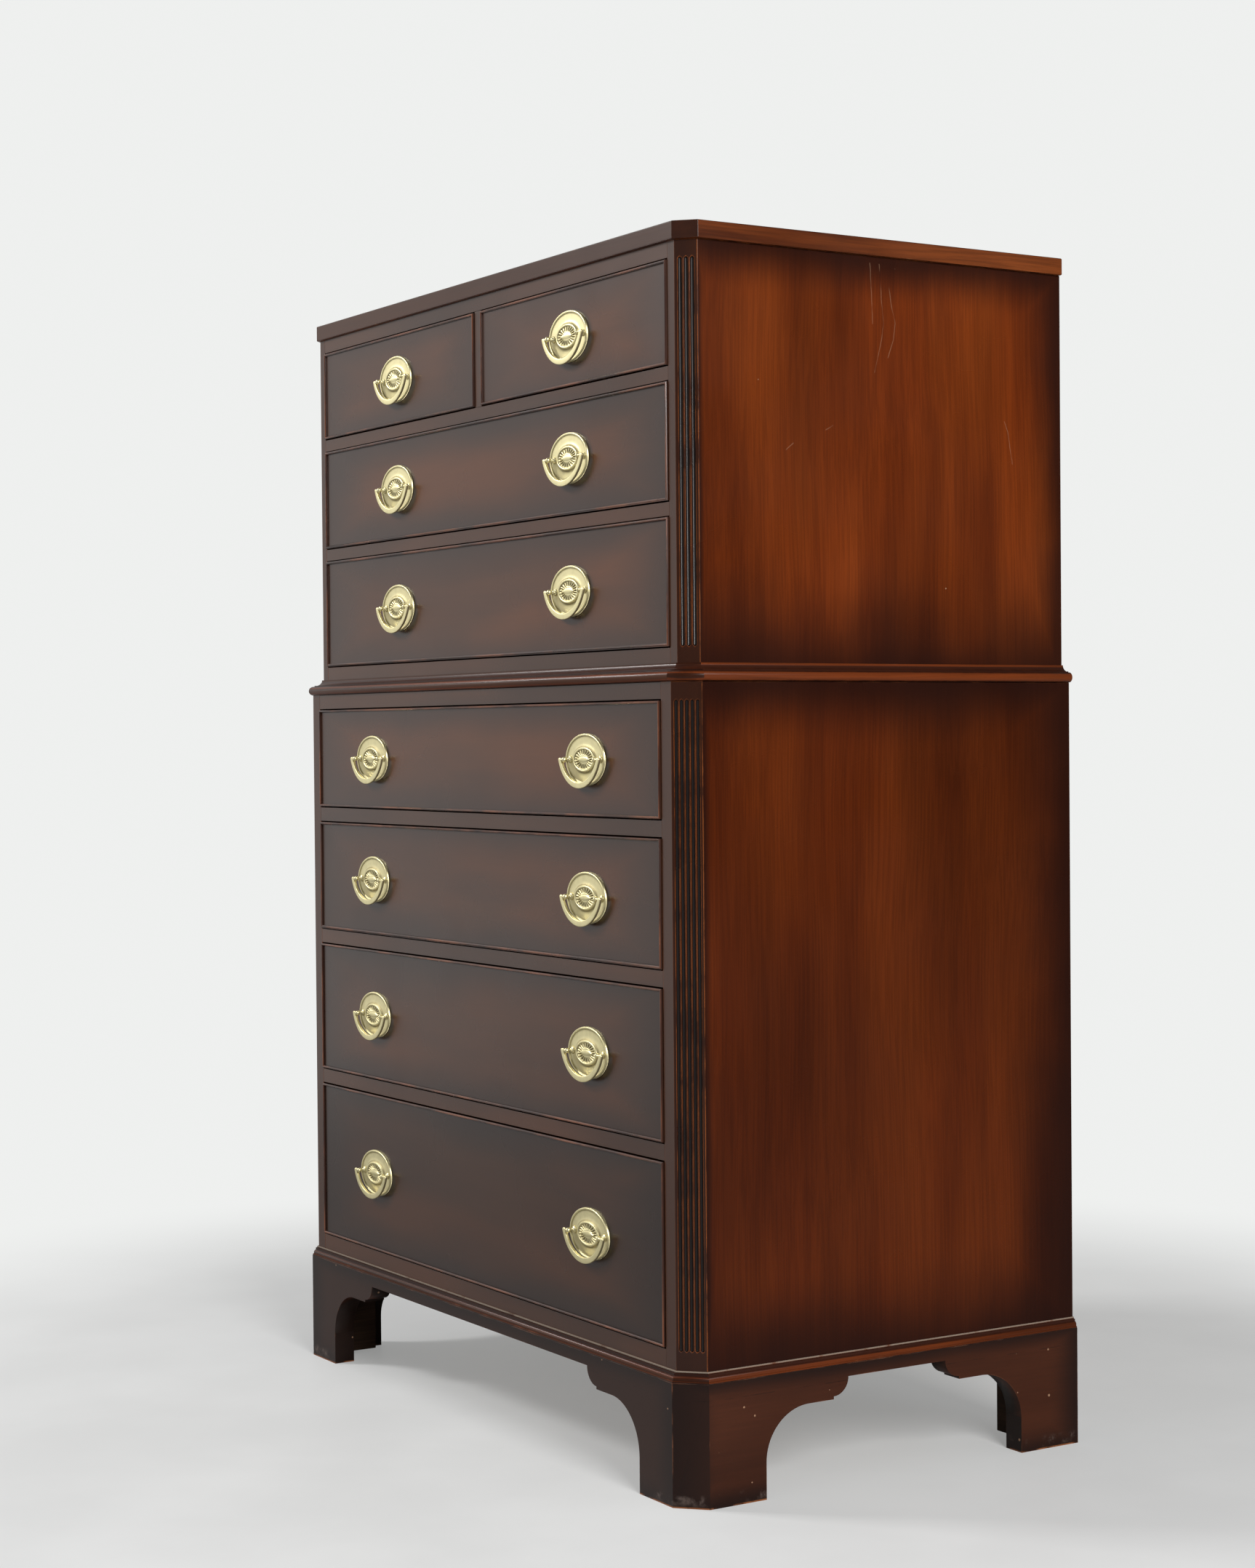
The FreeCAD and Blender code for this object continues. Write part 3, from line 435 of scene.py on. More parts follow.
@dataclass(frozen=True)
class Panel:
    """The border of a show face: its plane, its box and how far the dark border fades in."""

    face: Face
    box: tuple[float, float, float, float]
    fades: tuple[float, float, float, float]

    @classmethod
    def of_node(cls, node: str, face: Face,
                fades: tuple[float, float, float, float]) -> "Panel":
        """Take the border from a node's box.

        Args:
            node: The node.
            face: The plane of its show face.
            fades: How far the border fades in from the low and high edge of each axis.

        Returns:
            The panel.
        """
        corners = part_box(node)
        box = tuple(corner["XYZ".index(axis)] for axis in face.value for corner in corners)
        return cls(face, box, fades)

    def inputs(self, place: Socket, axes: Outputs) -> dict[str, Feed]:
        """Return what the border's group takes.

        Args:
            place: The place on the object.
            axes: The place along each axis.

        Returns:
            The values and links by socket name.
        """
        across, up = self.face.value
        given: dict[str, Feed] = {"Where": place, "U": axes[across], "V": axes[up]}
        for edge, at, fade in zip(EDGES, self.box, self.fades):
            given.update({edge: at, "Fade " + edge: fade})
        return given


@dataclass(frozen=True)
class Bead:
    """The part of a drawer front that stands out: the plane that it starts at and its colours."""

    plane: float
    dark: Colour = (0.030, 0.011, 0.007)
    rubbed: Colour = (0.17, 0.056, 0.024)
    foot: Span = (0.3 * MM, 0.9 * MM)
    nose: Span = (1.4 * MM, 2.4 * MM)
    patches: Triple = (11.0, 4.0, 0.6)
    patch_span: Span = (0.38, 0.68)

    def laid(self, graph: Graph, colour: Feed, place: Socket, axes: Outputs) -> Socket:
        """Return the colour with the bead's own, rubbed in patches along its nose.

        Args:
            graph: The material's graph.
            colour: The colour so far.
            place: The place on the object.
            axes: The place along each axis.

        Returns:
            The colour.
        """
        out = graph.math("SUBTRACT", self.plane, axes["Y"])
        rub = graph.times(graph.ease(graph.noise(place, *self.patches), *self.patch_span),
                          graph.ease(out, *self.nose))
        return graph.mix(graph.ease(out, *self.foot), colour,
                         graph.mix(rub, self.dark, self.rubbed))


@dataclass(frozen=True)
class Flutes:
    """The cant of a corner post: the place of its front arris and the painted shade in its flutes.
    """

    half: float
    front: float
    # The painted shade in the flutes
    dark: Colour = (0.006, 0.0035, 0.003)
    depth: Span = (0.4 * MM, 2.0 * MM)
    margin: float = 0.6 * MM

    def laid(self, graph: Graph, colour: Feed, place: Socket, axes: Outputs) -> Socket:
        """Return the colour with painted shade in the flutes: the depth behind the cant's plane,
        inside the cant.

        Args:
            graph: The material's graph.
            colour: The colour so far.
            place: The place on the object; not used.
            axes: The place along each axis.

        Returns:
            The colour.
        """
        out = graph.math("SUBTRACT", graph.math("ABSOLUTE", axes["X"]), self.half)
        back = graph.math("SUBTRACT", axes["Y"], self.front)
        share = graph.times(graph.ease(graph.math("SUBTRACT", back, out), *self.depth),
                            graph.math("GREATER_THAN", out, self.margin),
                            graph.math("GREATER_THAN", back, self.margin))
        return graph.mix(share, colour, self.dark)


@dataclass(frozen=True)
class Band:
    """A level band of another colour, such as painted shade in a hollow, dust on a ledge or a
    rubbed foot.
    """

    low: float
    high: float
    colour: Colour
    soft: float = 0.7 * MM
    share: float = 0.85
    broken: float = 0.0
    patches: Triple = (38.0, 4.0, 0.65)
    patch_fade: float = 0.08

    def laid(self, graph: Graph, colour: Feed, place: Socket, axes: Outputs) -> Socket:
        """Return the colour with the band, broken up by noise where it is to be.

        Args:
            graph: The material's graph.
            colour: The colour so far.
            place: The place on the object.
            axes: The place along each axis.

        Returns:
            The colour.
        """
        above = graph.ease(axes["Z"], self.low - self.soft, self.low + self.soft)
        below = graph.ease(axes["Z"], self.high + self.soft, self.high - self.soft)
        share = graph.times(above, below, self.share)
        if self.broken:
            patch = graph.noise(place, *self.patches)
            share = graph.times(share, graph.ease(patch, self.broken - self.patch_fade,
                                                  self.broken + self.patch_fade))
        return graph.mix(share, colour, self.colour)


@dataclass(frozen=True)
class PullShadow:
    """Painted shadow of a brass plate: a soft dark oval on a drawer's face, beside and below the
    plate.
    """

    x: float
    z: float
    half: Span = (47.0 * MM, 34.0 * MM)
    colour: Colour = (0.010, 0.004, 0.003)
    share: float = 0.85
    fade: Span = (1.10, 0.90)

    def laid(self, graph: Graph, colour: Feed, place: Socket, axes: Outputs) -> Socket:
        """Return the colour with the painted shadow, an oval which fades out round its edge.

        Args:
            graph: The material's graph.
            colour: The colour so far.
            place: The place on the object; not used.
            axes: The place along each axis.

        Returns:
            The colour.
        """
        across = graph.math("DIVIDE", graph.math("SUBTRACT", axes["X"], self.x), self.half[0])
        up = graph.math("DIVIDE", graph.math("SUBTRACT", axes["Z"], self.z), self.half[1])
        away = graph.measure("LENGTH", graph.join(across, up))
        return graph.mix(graph.ease(away, *self.fade, 0.0, self.share), colour, self.colour)


Layer = Union[Bead, Flutes, Band, PullShadow]
Scratch = tuple[Vector, Vector]


@dataclass(frozen=True)
class WoodFinish:
    """One polished or bare wood, with its grain, border, wear, dings, dust and painted shade by the
    way a face looks.
    """

    dark: Colour
    light: Colour
    border: Colour
    warm: Colour
    worn: Colour
    grain: Grain
    # Painted shade: the colours that faces looking to the front, the cants and the inner faces are
    # darkened to, as they take less light
    front: Optional[Colour] = None
    cant: Optional[Colour] = None
    inside: Optional[Colour] = None
    ribbon: float = 13.0
    fibre: float = 330.0
    length: float = 2.4
    fibre_share: float = 0.10
    fibre_lift: float = 0.7
    pore_share: float = 0.18
    pore_height: float = -0.8
    border_share: float = 0.9
    facing_shade_share: float = 0.9
    warm_share: float = 0.0
    flame_stretch: Triple = (9.0, 9.0, 1.8)
    flame_detail: float = 2.5
    flame_span: Span = (0.38, 0.66)
    cloud_share: float = 0.0
    cloud_lift: float = 0.3
    cloud_stretch: Triple = (5.0, 5.0, 1.7)
    cloud_detail: float = 1.5
    cloud_span: Span = (0.34, 0.64)
    roughness: float = 0.36
    smear: Span = (6.0, 3.0)
    smear_span: Span = (0.3, 0.7)
    smear_range: Span = (-0.03, 0.05)
    specular: float = 0.5
    wear_share: float = 0.3
    wear_radius: float = 1.6 * MM
    wear_strength: float = 0.8
    wear_patches: float = 24.0
    mark: Colour = (0.34, 0.20, 0.12)
    mark_share: float = 0.7
    speck_share: float = 0.0
    speck_scale: float = 46.0
    speck_size: float = 0.065
    scratch_share: float = 0.36
    scratch_width: float = 0.9 * MM
    dust: Colour = (0.34, 0.31, 0.28)
    dust_share: float = 0.0
    bump: float = 0.03
    bump_distance: float = 0.6 * MM

    def material(self, name: str, groups: Groups, seed: float, panel: Optional[Panel] = None,
                 under: Sequence[Layer] = (), over: Sequence[Layer] = (),
                 scratches: Sequence[Scratch] = ()) -> bpy.types.Material:
        """Build the material of one board or one set of boards.

        Args:
            name: The material's name.
            groups: The shared effects.
            seed: A number that moves the grain, so that no two boards match.
            panel: The border of the show face, where it has one.
            under: What lies under the rubbed edges, such as a pull's painted shadow and a bead.
            over: What lies over them, such as the flutes' painted shade and bands.
            scratches: The two ends of each scratch.

        Returns:
            The material.
        """
        made = bpy.data.materials.new(name)
        graph = Graph.of(made)
        place = graph.node("TexCoord").outputs["Object"]
        axes = graph.split(place)
        along = self.along(graph, groups, place, axes)
        grain = graph.use(groups.grain, {"Along": along, "Ribbon": self.ribbon, "Seed": seed,
                                         "Fibre": self.fibre, "Length": self.length})
        colour = self.grained(graph, grain, along, seed)
        colour = self.shaded_by_facing(graph, groups, colour, place)
        if panel:
            edge = graph.use(groups.panel, panel.inputs(place, axes))["Edge"]
            colour = graph.mix(graph.times(edge, self.border_share), colour, self.border)
        for layer in under:
            colour = layer.laid(graph, colour, place, axes)
        wear = graph.use(groups.wear, {"Where": place, "Radius": self.wear_radius,
                                       "Patches": self.wear_patches, "Share": self.wear_share})
        colour = graph.mix(graph.times(wear["Wear"], self.wear_strength), colour, self.worn)
        for layer in over:
            colour = layer.laid(graph, colour, place, axes)
        colour = self.marked(graph, groups, colour, place, scratches)
        if self.dust_share:
            dust = graph.use(groups.dust, {"Where": place, "Share": self.dust_share})["Dust"]
            colour = graph.mix(dust, colour, self.dust)
        rough = graph.ease(graph.noise(place, *self.smear), *self.smear_span,
                           *(self.roughness + part for part in self.smear_range))
        height = graph.math("ADD", grain["Fibre"], graph.times(grain["Pores"], self.pore_height))
        bump = graph.node("Bump", {"Height": height, "Strength": self.bump,
                                   "Distance": self.bump_distance})
        graph.finish(Base_Color=colour, Roughness=rough, Normal=bump.outputs[0],
                     Specular_IOR_Level=self.specular)
        return made

    def along(self, graph: Graph, groups: Groups, place: Socket, axes: Outputs) -> Socket:
        """Return the place with the axis that the grain follows as its third.

        Args:
            graph: The material's graph.
            groups: The shared effects.
            place: The place on the object.
            axes: The place along each axis.

        Returns:
            The place.
        """
        ways = (self.grain, Grain.ALONG_Y) if self.grain is Grain.ROUND else (self.grain,)
        turned = [graph.join(*(axes[axis] for axis in way.value)) for way in ways]
        if len(turned) == 1:
            return turned[0]
        side = graph.use(groups.facing, {"Where": place})["Side"]
        return graph.node("Mix", {0: side, 4: turned[0], 5: turned[1]},
                          data_type="VECTOR").outputs[1]

    def grained(self, graph: Graph, grain: Outputs, along: Socket, seed: float) -> Socket:
        """Return the wood's colour: ribbons, slow warm flames, fibres, clouds and pores.

        Args:
            graph: The material's graph.
            grain: The outputs of the grain.
            along: The place with the grain along its third axis.
            seed: A number that moves the flames and clouds.

        Returns:
            The colour.
        """
        colour = graph.mix(grain["Ribbon"], self.dark, self.light)
        if self.warm_share:
            flame = graph.vector("ADD", graph.vector("MULTIPLY", along, self.flame_stretch),
                                 (seed, 2.0 * seed, 3.0 * seed))
            warmth = graph.ease(graph.noise(flame, 1.0, self.flame_detail), *self.flame_span)
            colour = graph.mix(graph.times(warmth, self.warm_share), colour, self.warm)
        shade = graph.ease(grain["Fibre"], 0.0, 1.0, 1.0 - self.fibre_share,
                           1.0 + self.fibre_lift * self.fibre_share)
        if self.cloud_share:
            cloud = graph.vector("ADD", graph.vector("MULTIPLY", along, self.cloud_stretch),
                                 (3.0 * seed, seed, 2.0 * seed))
            cloud = graph.ease(graph.noise(cloud, 1.0, self.cloud_detail), *self.cloud_span,
                               1.0 - self.cloud_share, 1.0 + self.cloud_lift * self.cloud_share)
            shade = graph.times(shade, cloud)
        colour = graph.mix(1.0, colour, graph.grey(shade), "MULTIPLY")
        return graph.mix(graph.times(grain["Pores"], self.pore_share), colour, self.border)

    def shaded_by_facing(self, graph: Graph, groups: Groups, colour: Feed, place: Socket) -> Feed:
        """Return the colour with painted shade on faces that look to the front, on the cants and on
        the unseen inner faces.

        Args:
            graph: The material's graph.
            groups: The shared effects.
            colour: The colour so far.
            place: The place on the object.

        Returns:
            The colour.
        """
        facing_shades = {"Front": self.front, "Cant": self.cant, "Inside": self.inside}
        facing_shades = {label: painted_shade for label, painted_shade in facing_shades.items() if painted_shade}
        facing = graph.use(groups.facing, {"Where": place}) if facing_shades else {}
        for label, painted_shade in facing_shades.items():
            colour = graph.mix(graph.times(facing[label], self.facing_shade_share), colour, painted_shade)
        return colour

    def marked(self, graph: Graph, groups: Groups, colour: Feed, place: Socket,
               scratches: Sequence[Scratch]) -> Feed:
        """Return the colour with pale dings and scratches.

        Args:
            graph: The material's graph.
            groups: The shared effects.
            colour: The colour so far.
            place: The place on the object.
            scratches: The two ends of each scratch.

        Returns:
            The colour.
        """
        marks: Feed = 0.0
        if self.speck_share:
            marks = graph.use(groups.specks, {"Where": place, "Scale": self.speck_scale,
                                              "Size": self.speck_size,
                                              "Share": self.speck_share})["Specks"]
        for start, end in scratches:
            line = graph.use(groups.scratch, {"Where": place, "Start": start, "End": end,
                                              "Width": self.scratch_width})["Scratch"]
            marks = graph.math("MAXIMUM", marks, graph.times(line, self.scratch_share))
        if not self.speck_share and not scratches:
            return colour
        return graph.mix(graph.times(marks, self.mark_share), colour, self.mark)

    def toned(self, share: float) -> "WoodFinish":
        """Return the finish with its ribbons, flames and border at a share of their colour."""
        return replace(self, **{name: tuple(share * part for part in getattr(self, name))
                                for name in ("dark", "light", "warm", "border")})


# Painted shade for faces that look to the front and for the cants, which take less light than the
# sides
FRONT_PAINTED_SHADE: Colour = (0.044, 0.017, 0.0085)
CANT_PAINTED_SHADE: Colour = (0.018, 0.0056, 0.0027)
SIDE_WOOD = WoodFinish(
    dark=(0.074, 0.0120, 0.0015), light=(0.118, 0.0198, 0.0021), border=(0.012, 0.0032, 0.0018),
    warm=(0.176, 0.0350, 0.0040), worn=(0.24, 0.075, 0.022), grain=Grain.ALONG_Z, ribbon=21.0,
    fibre=480.0, length=1.6, fibre_share=0.14, pore_share=0.06, warm_share=0.5, cloud_share=0.30,
    roughness=0.28, specular=0.20, speck_share=0.22, bump=0.01)
LOWER_SIDE_WOOD = replace(
    SIDE_WOOD, dark=(0.044, 0.0072, 0.0012), light=(0.070, 0.0117, 0.0015),
    warm=(0.104, 0.0200, 0.0027), specular=0.15)
TOP_WOOD = WoodFinish(
    dark=(0.048, 0.0105, 0.0027), light=(0.122, 0.0280, 0.0054), border=(0.020, 0.007, 0.004),
    warm=(0.172, 0.043, 0.0080), worn=(0.32, 0.13, 0.05), grain=Grain.ROUND, front=FRONT_PAINTED_SHADE,
    cant=CANT_PAINTED_SHADE, ribbon=46.0, fibre_share=0.20, pore_share=0.12, warm_share=0.45,
    roughness=0.32, specular=0.26, wear_share=0.16)
FRONT_WOOD = WoodFinish(
    dark=(0.056, 0.0185, 0.0070), light=(0.080, 0.0265, 0.0088), border=(0.026, 0.0112, 0.0072),
    warm=(0.140, 0.040, 0.0090), worn=(0.16, 0.055, 0.022), grain=Grain.ALONG_X, ribbon=16.0,
    length=2.0, fibre_share=0.03, pore_share=0.0, border_share=0.8, warm_share=0.6,
    roughness=0.28, specular=0.42, wear_share=0.10, wear_strength=0.5, bump=0.0)
POST_WOOD = WoodFinish(
    dark=(0.045, 0.0105, 0.0030), light=(0.100, 0.0225, 0.0050), border=(0.014, 0.005, 0.0035),
    warm=(0.13, 0.031, 0.006), worn=(0.32, 0.085, 0.017), grain=Grain.ALONG_Z, front=FRONT_PAINTED_SHADE,
    cant=CANT_PAINTED_SHADE, ribbon=40.0, pore_share=0.0, warm_share=0.4, roughness=0.28, specular=0.34,
    wear_share=0.38, wear_radius=1.3 * MM, wear_strength=0.95, bump=0.0)
MOULDING_WOOD = WoodFinish(
    dark=(0.055, 0.0120, 0.0032), light=(0.130, 0.0265, 0.0052), border=(0.014, 0.005, 0.0035),
    warm=(0.185, 0.038, 0.007), worn=(0.30, 0.10, 0.045), grain=Grain.ROUND, front=FRONT_PAINTED_SHADE,
    cant=CANT_PAINTED_SHADE, ribbon=60.0, fibre_share=0.08, pore_share=0.0, warm_share=0.5,
    roughness=0.30, specular=0.17, wear_share=0.14, bump=0.0)
PLINTH_WOOD = WoodFinish(
    dark=(0.022, 0.0062, 0.0028), light=(0.047, 0.0130, 0.0052), border=(0.011, 0.0044, 0.0030),
    warm=(0.062, 0.0165, 0.0060), worn=(0.26, 0.095, 0.042), grain=Grain.ROUND,
    # Painted shade on the faces that look to the front, on the cants and on the inner faces
    front=(0.024, 0.0095, 0.0055), cant=(0.020, 0.0070, 0.0040), inside=(0.010, 0.006, 0.0045),
    ribbon=14.0, fibre_share=0.06, pore_share=0.04, warm_share=0.5, roughness=0.32,
    specular=0.24, wear_share=0.24, speck_share=0.75, dust_share=0.3, bump=0.01)
INNER_WOOD = WoodFinish(
    dark=(0.20, 0.115, 0.055), light=(0.33, 0.205, 0.105), border=(0.12, 0.066, 0.032),
    warm=(0.36, 0.21, 0.10), worn=(0.40, 0.27, 0.15), grain=Grain.ROUND, ribbon=70.0,
    length=1.4, fibre_share=0.16, warm_share=0.4, roughness=0.70, specular=0.12, wear_share=0.2,
    wear_strength=0.5)
BACK_WOOD = replace(
    INNER_WOOD, dark=(0.230, 0.118, 0.050), light=(0.390, 0.218, 0.098),
    warm=(0.44, 0.235, 0.098), grain=Grain.ALONG_Z, cloud_share=0.25, specular=0.06)
# The bare wood darkened as painted shade, for the dark under the chest where the light is blocked
SHADED_BLOCK_WOOD = replace(
    INNER_WOOD, dark=(0.016, 0.009, 0.006), light=(0.032, 0.017, 0.009),
    warm=(0.036, 0.018, 0.009), worn=(0.07, 0.04, 0.02), border=(0.010, 0.006, 0.004))


@dataclass(frozen=True)
class BrassFinish:
    """Satin brass with a duller tone in the hollows of the pressing."""

    bright: Colour = (0.74, 0.665, 0.385)
    dull: Colour = (0.12, 0.085, 0.030)
    roughness: float = 0.42
    dull_roughness: float = 0.22
    hollow_share: float = 0.9
    hollow_attribute: str = "hollow"
    cloud: Span = (120.0, 3.0)
    cloud_span: Span = (0.35, 0.75)
    cloud_share: float = 0.12
    grit_scale: float = 2600.0
    grit: float = 0.05
    grit_distance: float = 0.2 * MM

    def material(self) -> bpy.types.Material:
        """Build the material.

        Returns:
            The material.
        """
        made = bpy.data.materials.new("satin_brass")
        graph = Graph.of(made)
        place = graph.node("TexCoord").outputs["Object"]
        hollow = graph.node("Attribute", attribute_name=self.hollow_attribute).outputs["Fac"]
        cloud = graph.ease(graph.noise(place, *self.cloud), *self.cloud_span, 0.0,
                           self.cloud_share)
        tone = graph.math("ADD", graph.times(hollow, self.hollow_share), cloud, clamp=True)
        bump = graph.node("Bump", {"Height": graph.noise(place, self.grit_scale),
                                   "Strength": self.grit, "Distance": self.grit_distance})
        graph.finish(Base_Color=graph.mix(tone, self.bright, self.dull), Metallic=1.0,
                     Roughness=graph.math("MULTIPLY_ADD", tone, self.dull_roughness,
                                          self.roughness),
                     Normal=bump.outputs[0])
        return made


def circle(count: int) -> np.ndarray:
    """Return angles at even steps once round."""
    return np.linspace(0.0, 2.0 * np.pi, count, endpoint=False)


def ramp(value: np.ndarray, start: float, end: float) -> np.ndarray:
    """Return how far a value has gone from start to end, kept between nothing and one."""
    return np.clip((value - start) / (end - start), 0.0, 1.0)


@dataclass
class Surface:
    """A closed surface: its points, its four- and three-cornered faces and its hollow depths."""

    points: np.ndarray
    quads: np.ndarray
    fans: np.ndarray
    hollow: np.ndarray

    @classmethod
    def rings(cls, rings: np.ndarray, hollow: Optional[np.ndarray] = None) -> "Surface":
        """Skin a stack of closed rings and close both ends with a fan to the end ring's middle.

        Faces join point j of ring i to point j + 1 and to ring i + 1. With rings that run
        counter-clockwise as seen from the side that the stack grows towards, they face outwards.

        Args:
            rings: Points as an array of rings by points by three.
            hollow: The hollow depth of every point, rings by points.

        Returns:
            The surface.
        """
        count, size = rings.shape[:2]
        index = np.arange(count * size).reshape(count, size)
        turned = np.roll(index, -1, axis=1)
        quads = np.stack([index[:-1], turned[:-1], turned[1:], index[1:]], axis=-1).reshape(-1, 4)
        ends = np.array([rings[0].mean(axis=0), rings[-1].mean(axis=0)])
        low = np.stack([turned[0], index[0], np.full(size, count * size)], axis=-1)
        high = np.stack([index[-1], turned[-1], np.full(size, count * size + 1)], axis=-1)
        depth = np.zeros((count, size)) if hollow is None else hollow
        depth = np.concatenate([depth.ravel(), [depth[0].mean(), depth[-1].mean()]])
        return cls(np.concatenate([rings.reshape(-1, 3), ends]), quads,
                   np.concatenate([low, high]), depth)

    def moved(self, offset: Sequence[float]) -> "Surface":
        """Return the surface shifted by an offset."""
        return replace(self, points=self.points + np.asarray(offset))

    @classmethod
    def joined(cls, parts: Sequence["Surface"]) -> "Surface":
        """Return several surfaces as one, the later ones' faces counted on.

        Args:
            parts: The surfaces.

        Returns:
            The surface.
        """
        starts = np.cumsum([0] + [len(part.points) for part in parts])
        return cls(np.concatenate([part.points for part in parts]),
                   np.concatenate([part.quads + start for part, start in zip(parts, starts)]),
                   np.concatenate([part.fans + start for part, start in zip(parts, starts)]),
                   np.concatenate([part.hollow for part in parts]))

    def object(self, name: str, material: bpy.types.Material,
               hollow_attribute: str) -> bpy.types.Object:
        """Make a smooth mesh object at the origin.

        Args:
            name: The object's name.
            material: Its material.
            hollow_attribute: The attribute that keeps the hollow depth.

        Returns:
            The object.
        """
        mesh = bpy.data.meshes.new(name)
        mesh.from_pydata(self.points.tolist(), [], self.quads.tolist() + self.fans.tolist())
        mesh.polygons.foreach_set("use_smooth", np.ones(len(mesh.polygons), dtype=bool))
        layer = mesh.attributes.new(hollow_attribute, "FLOAT", "POINT")
        layer.data.foreach_set("value", self.hollow.astype(np.float32))
        mesh.materials.append(material)
        mesh.update()
        made = bpy.data.objects.new(name, mesh)
        bpy.context.scene.collection.objects.link(made)
        return made


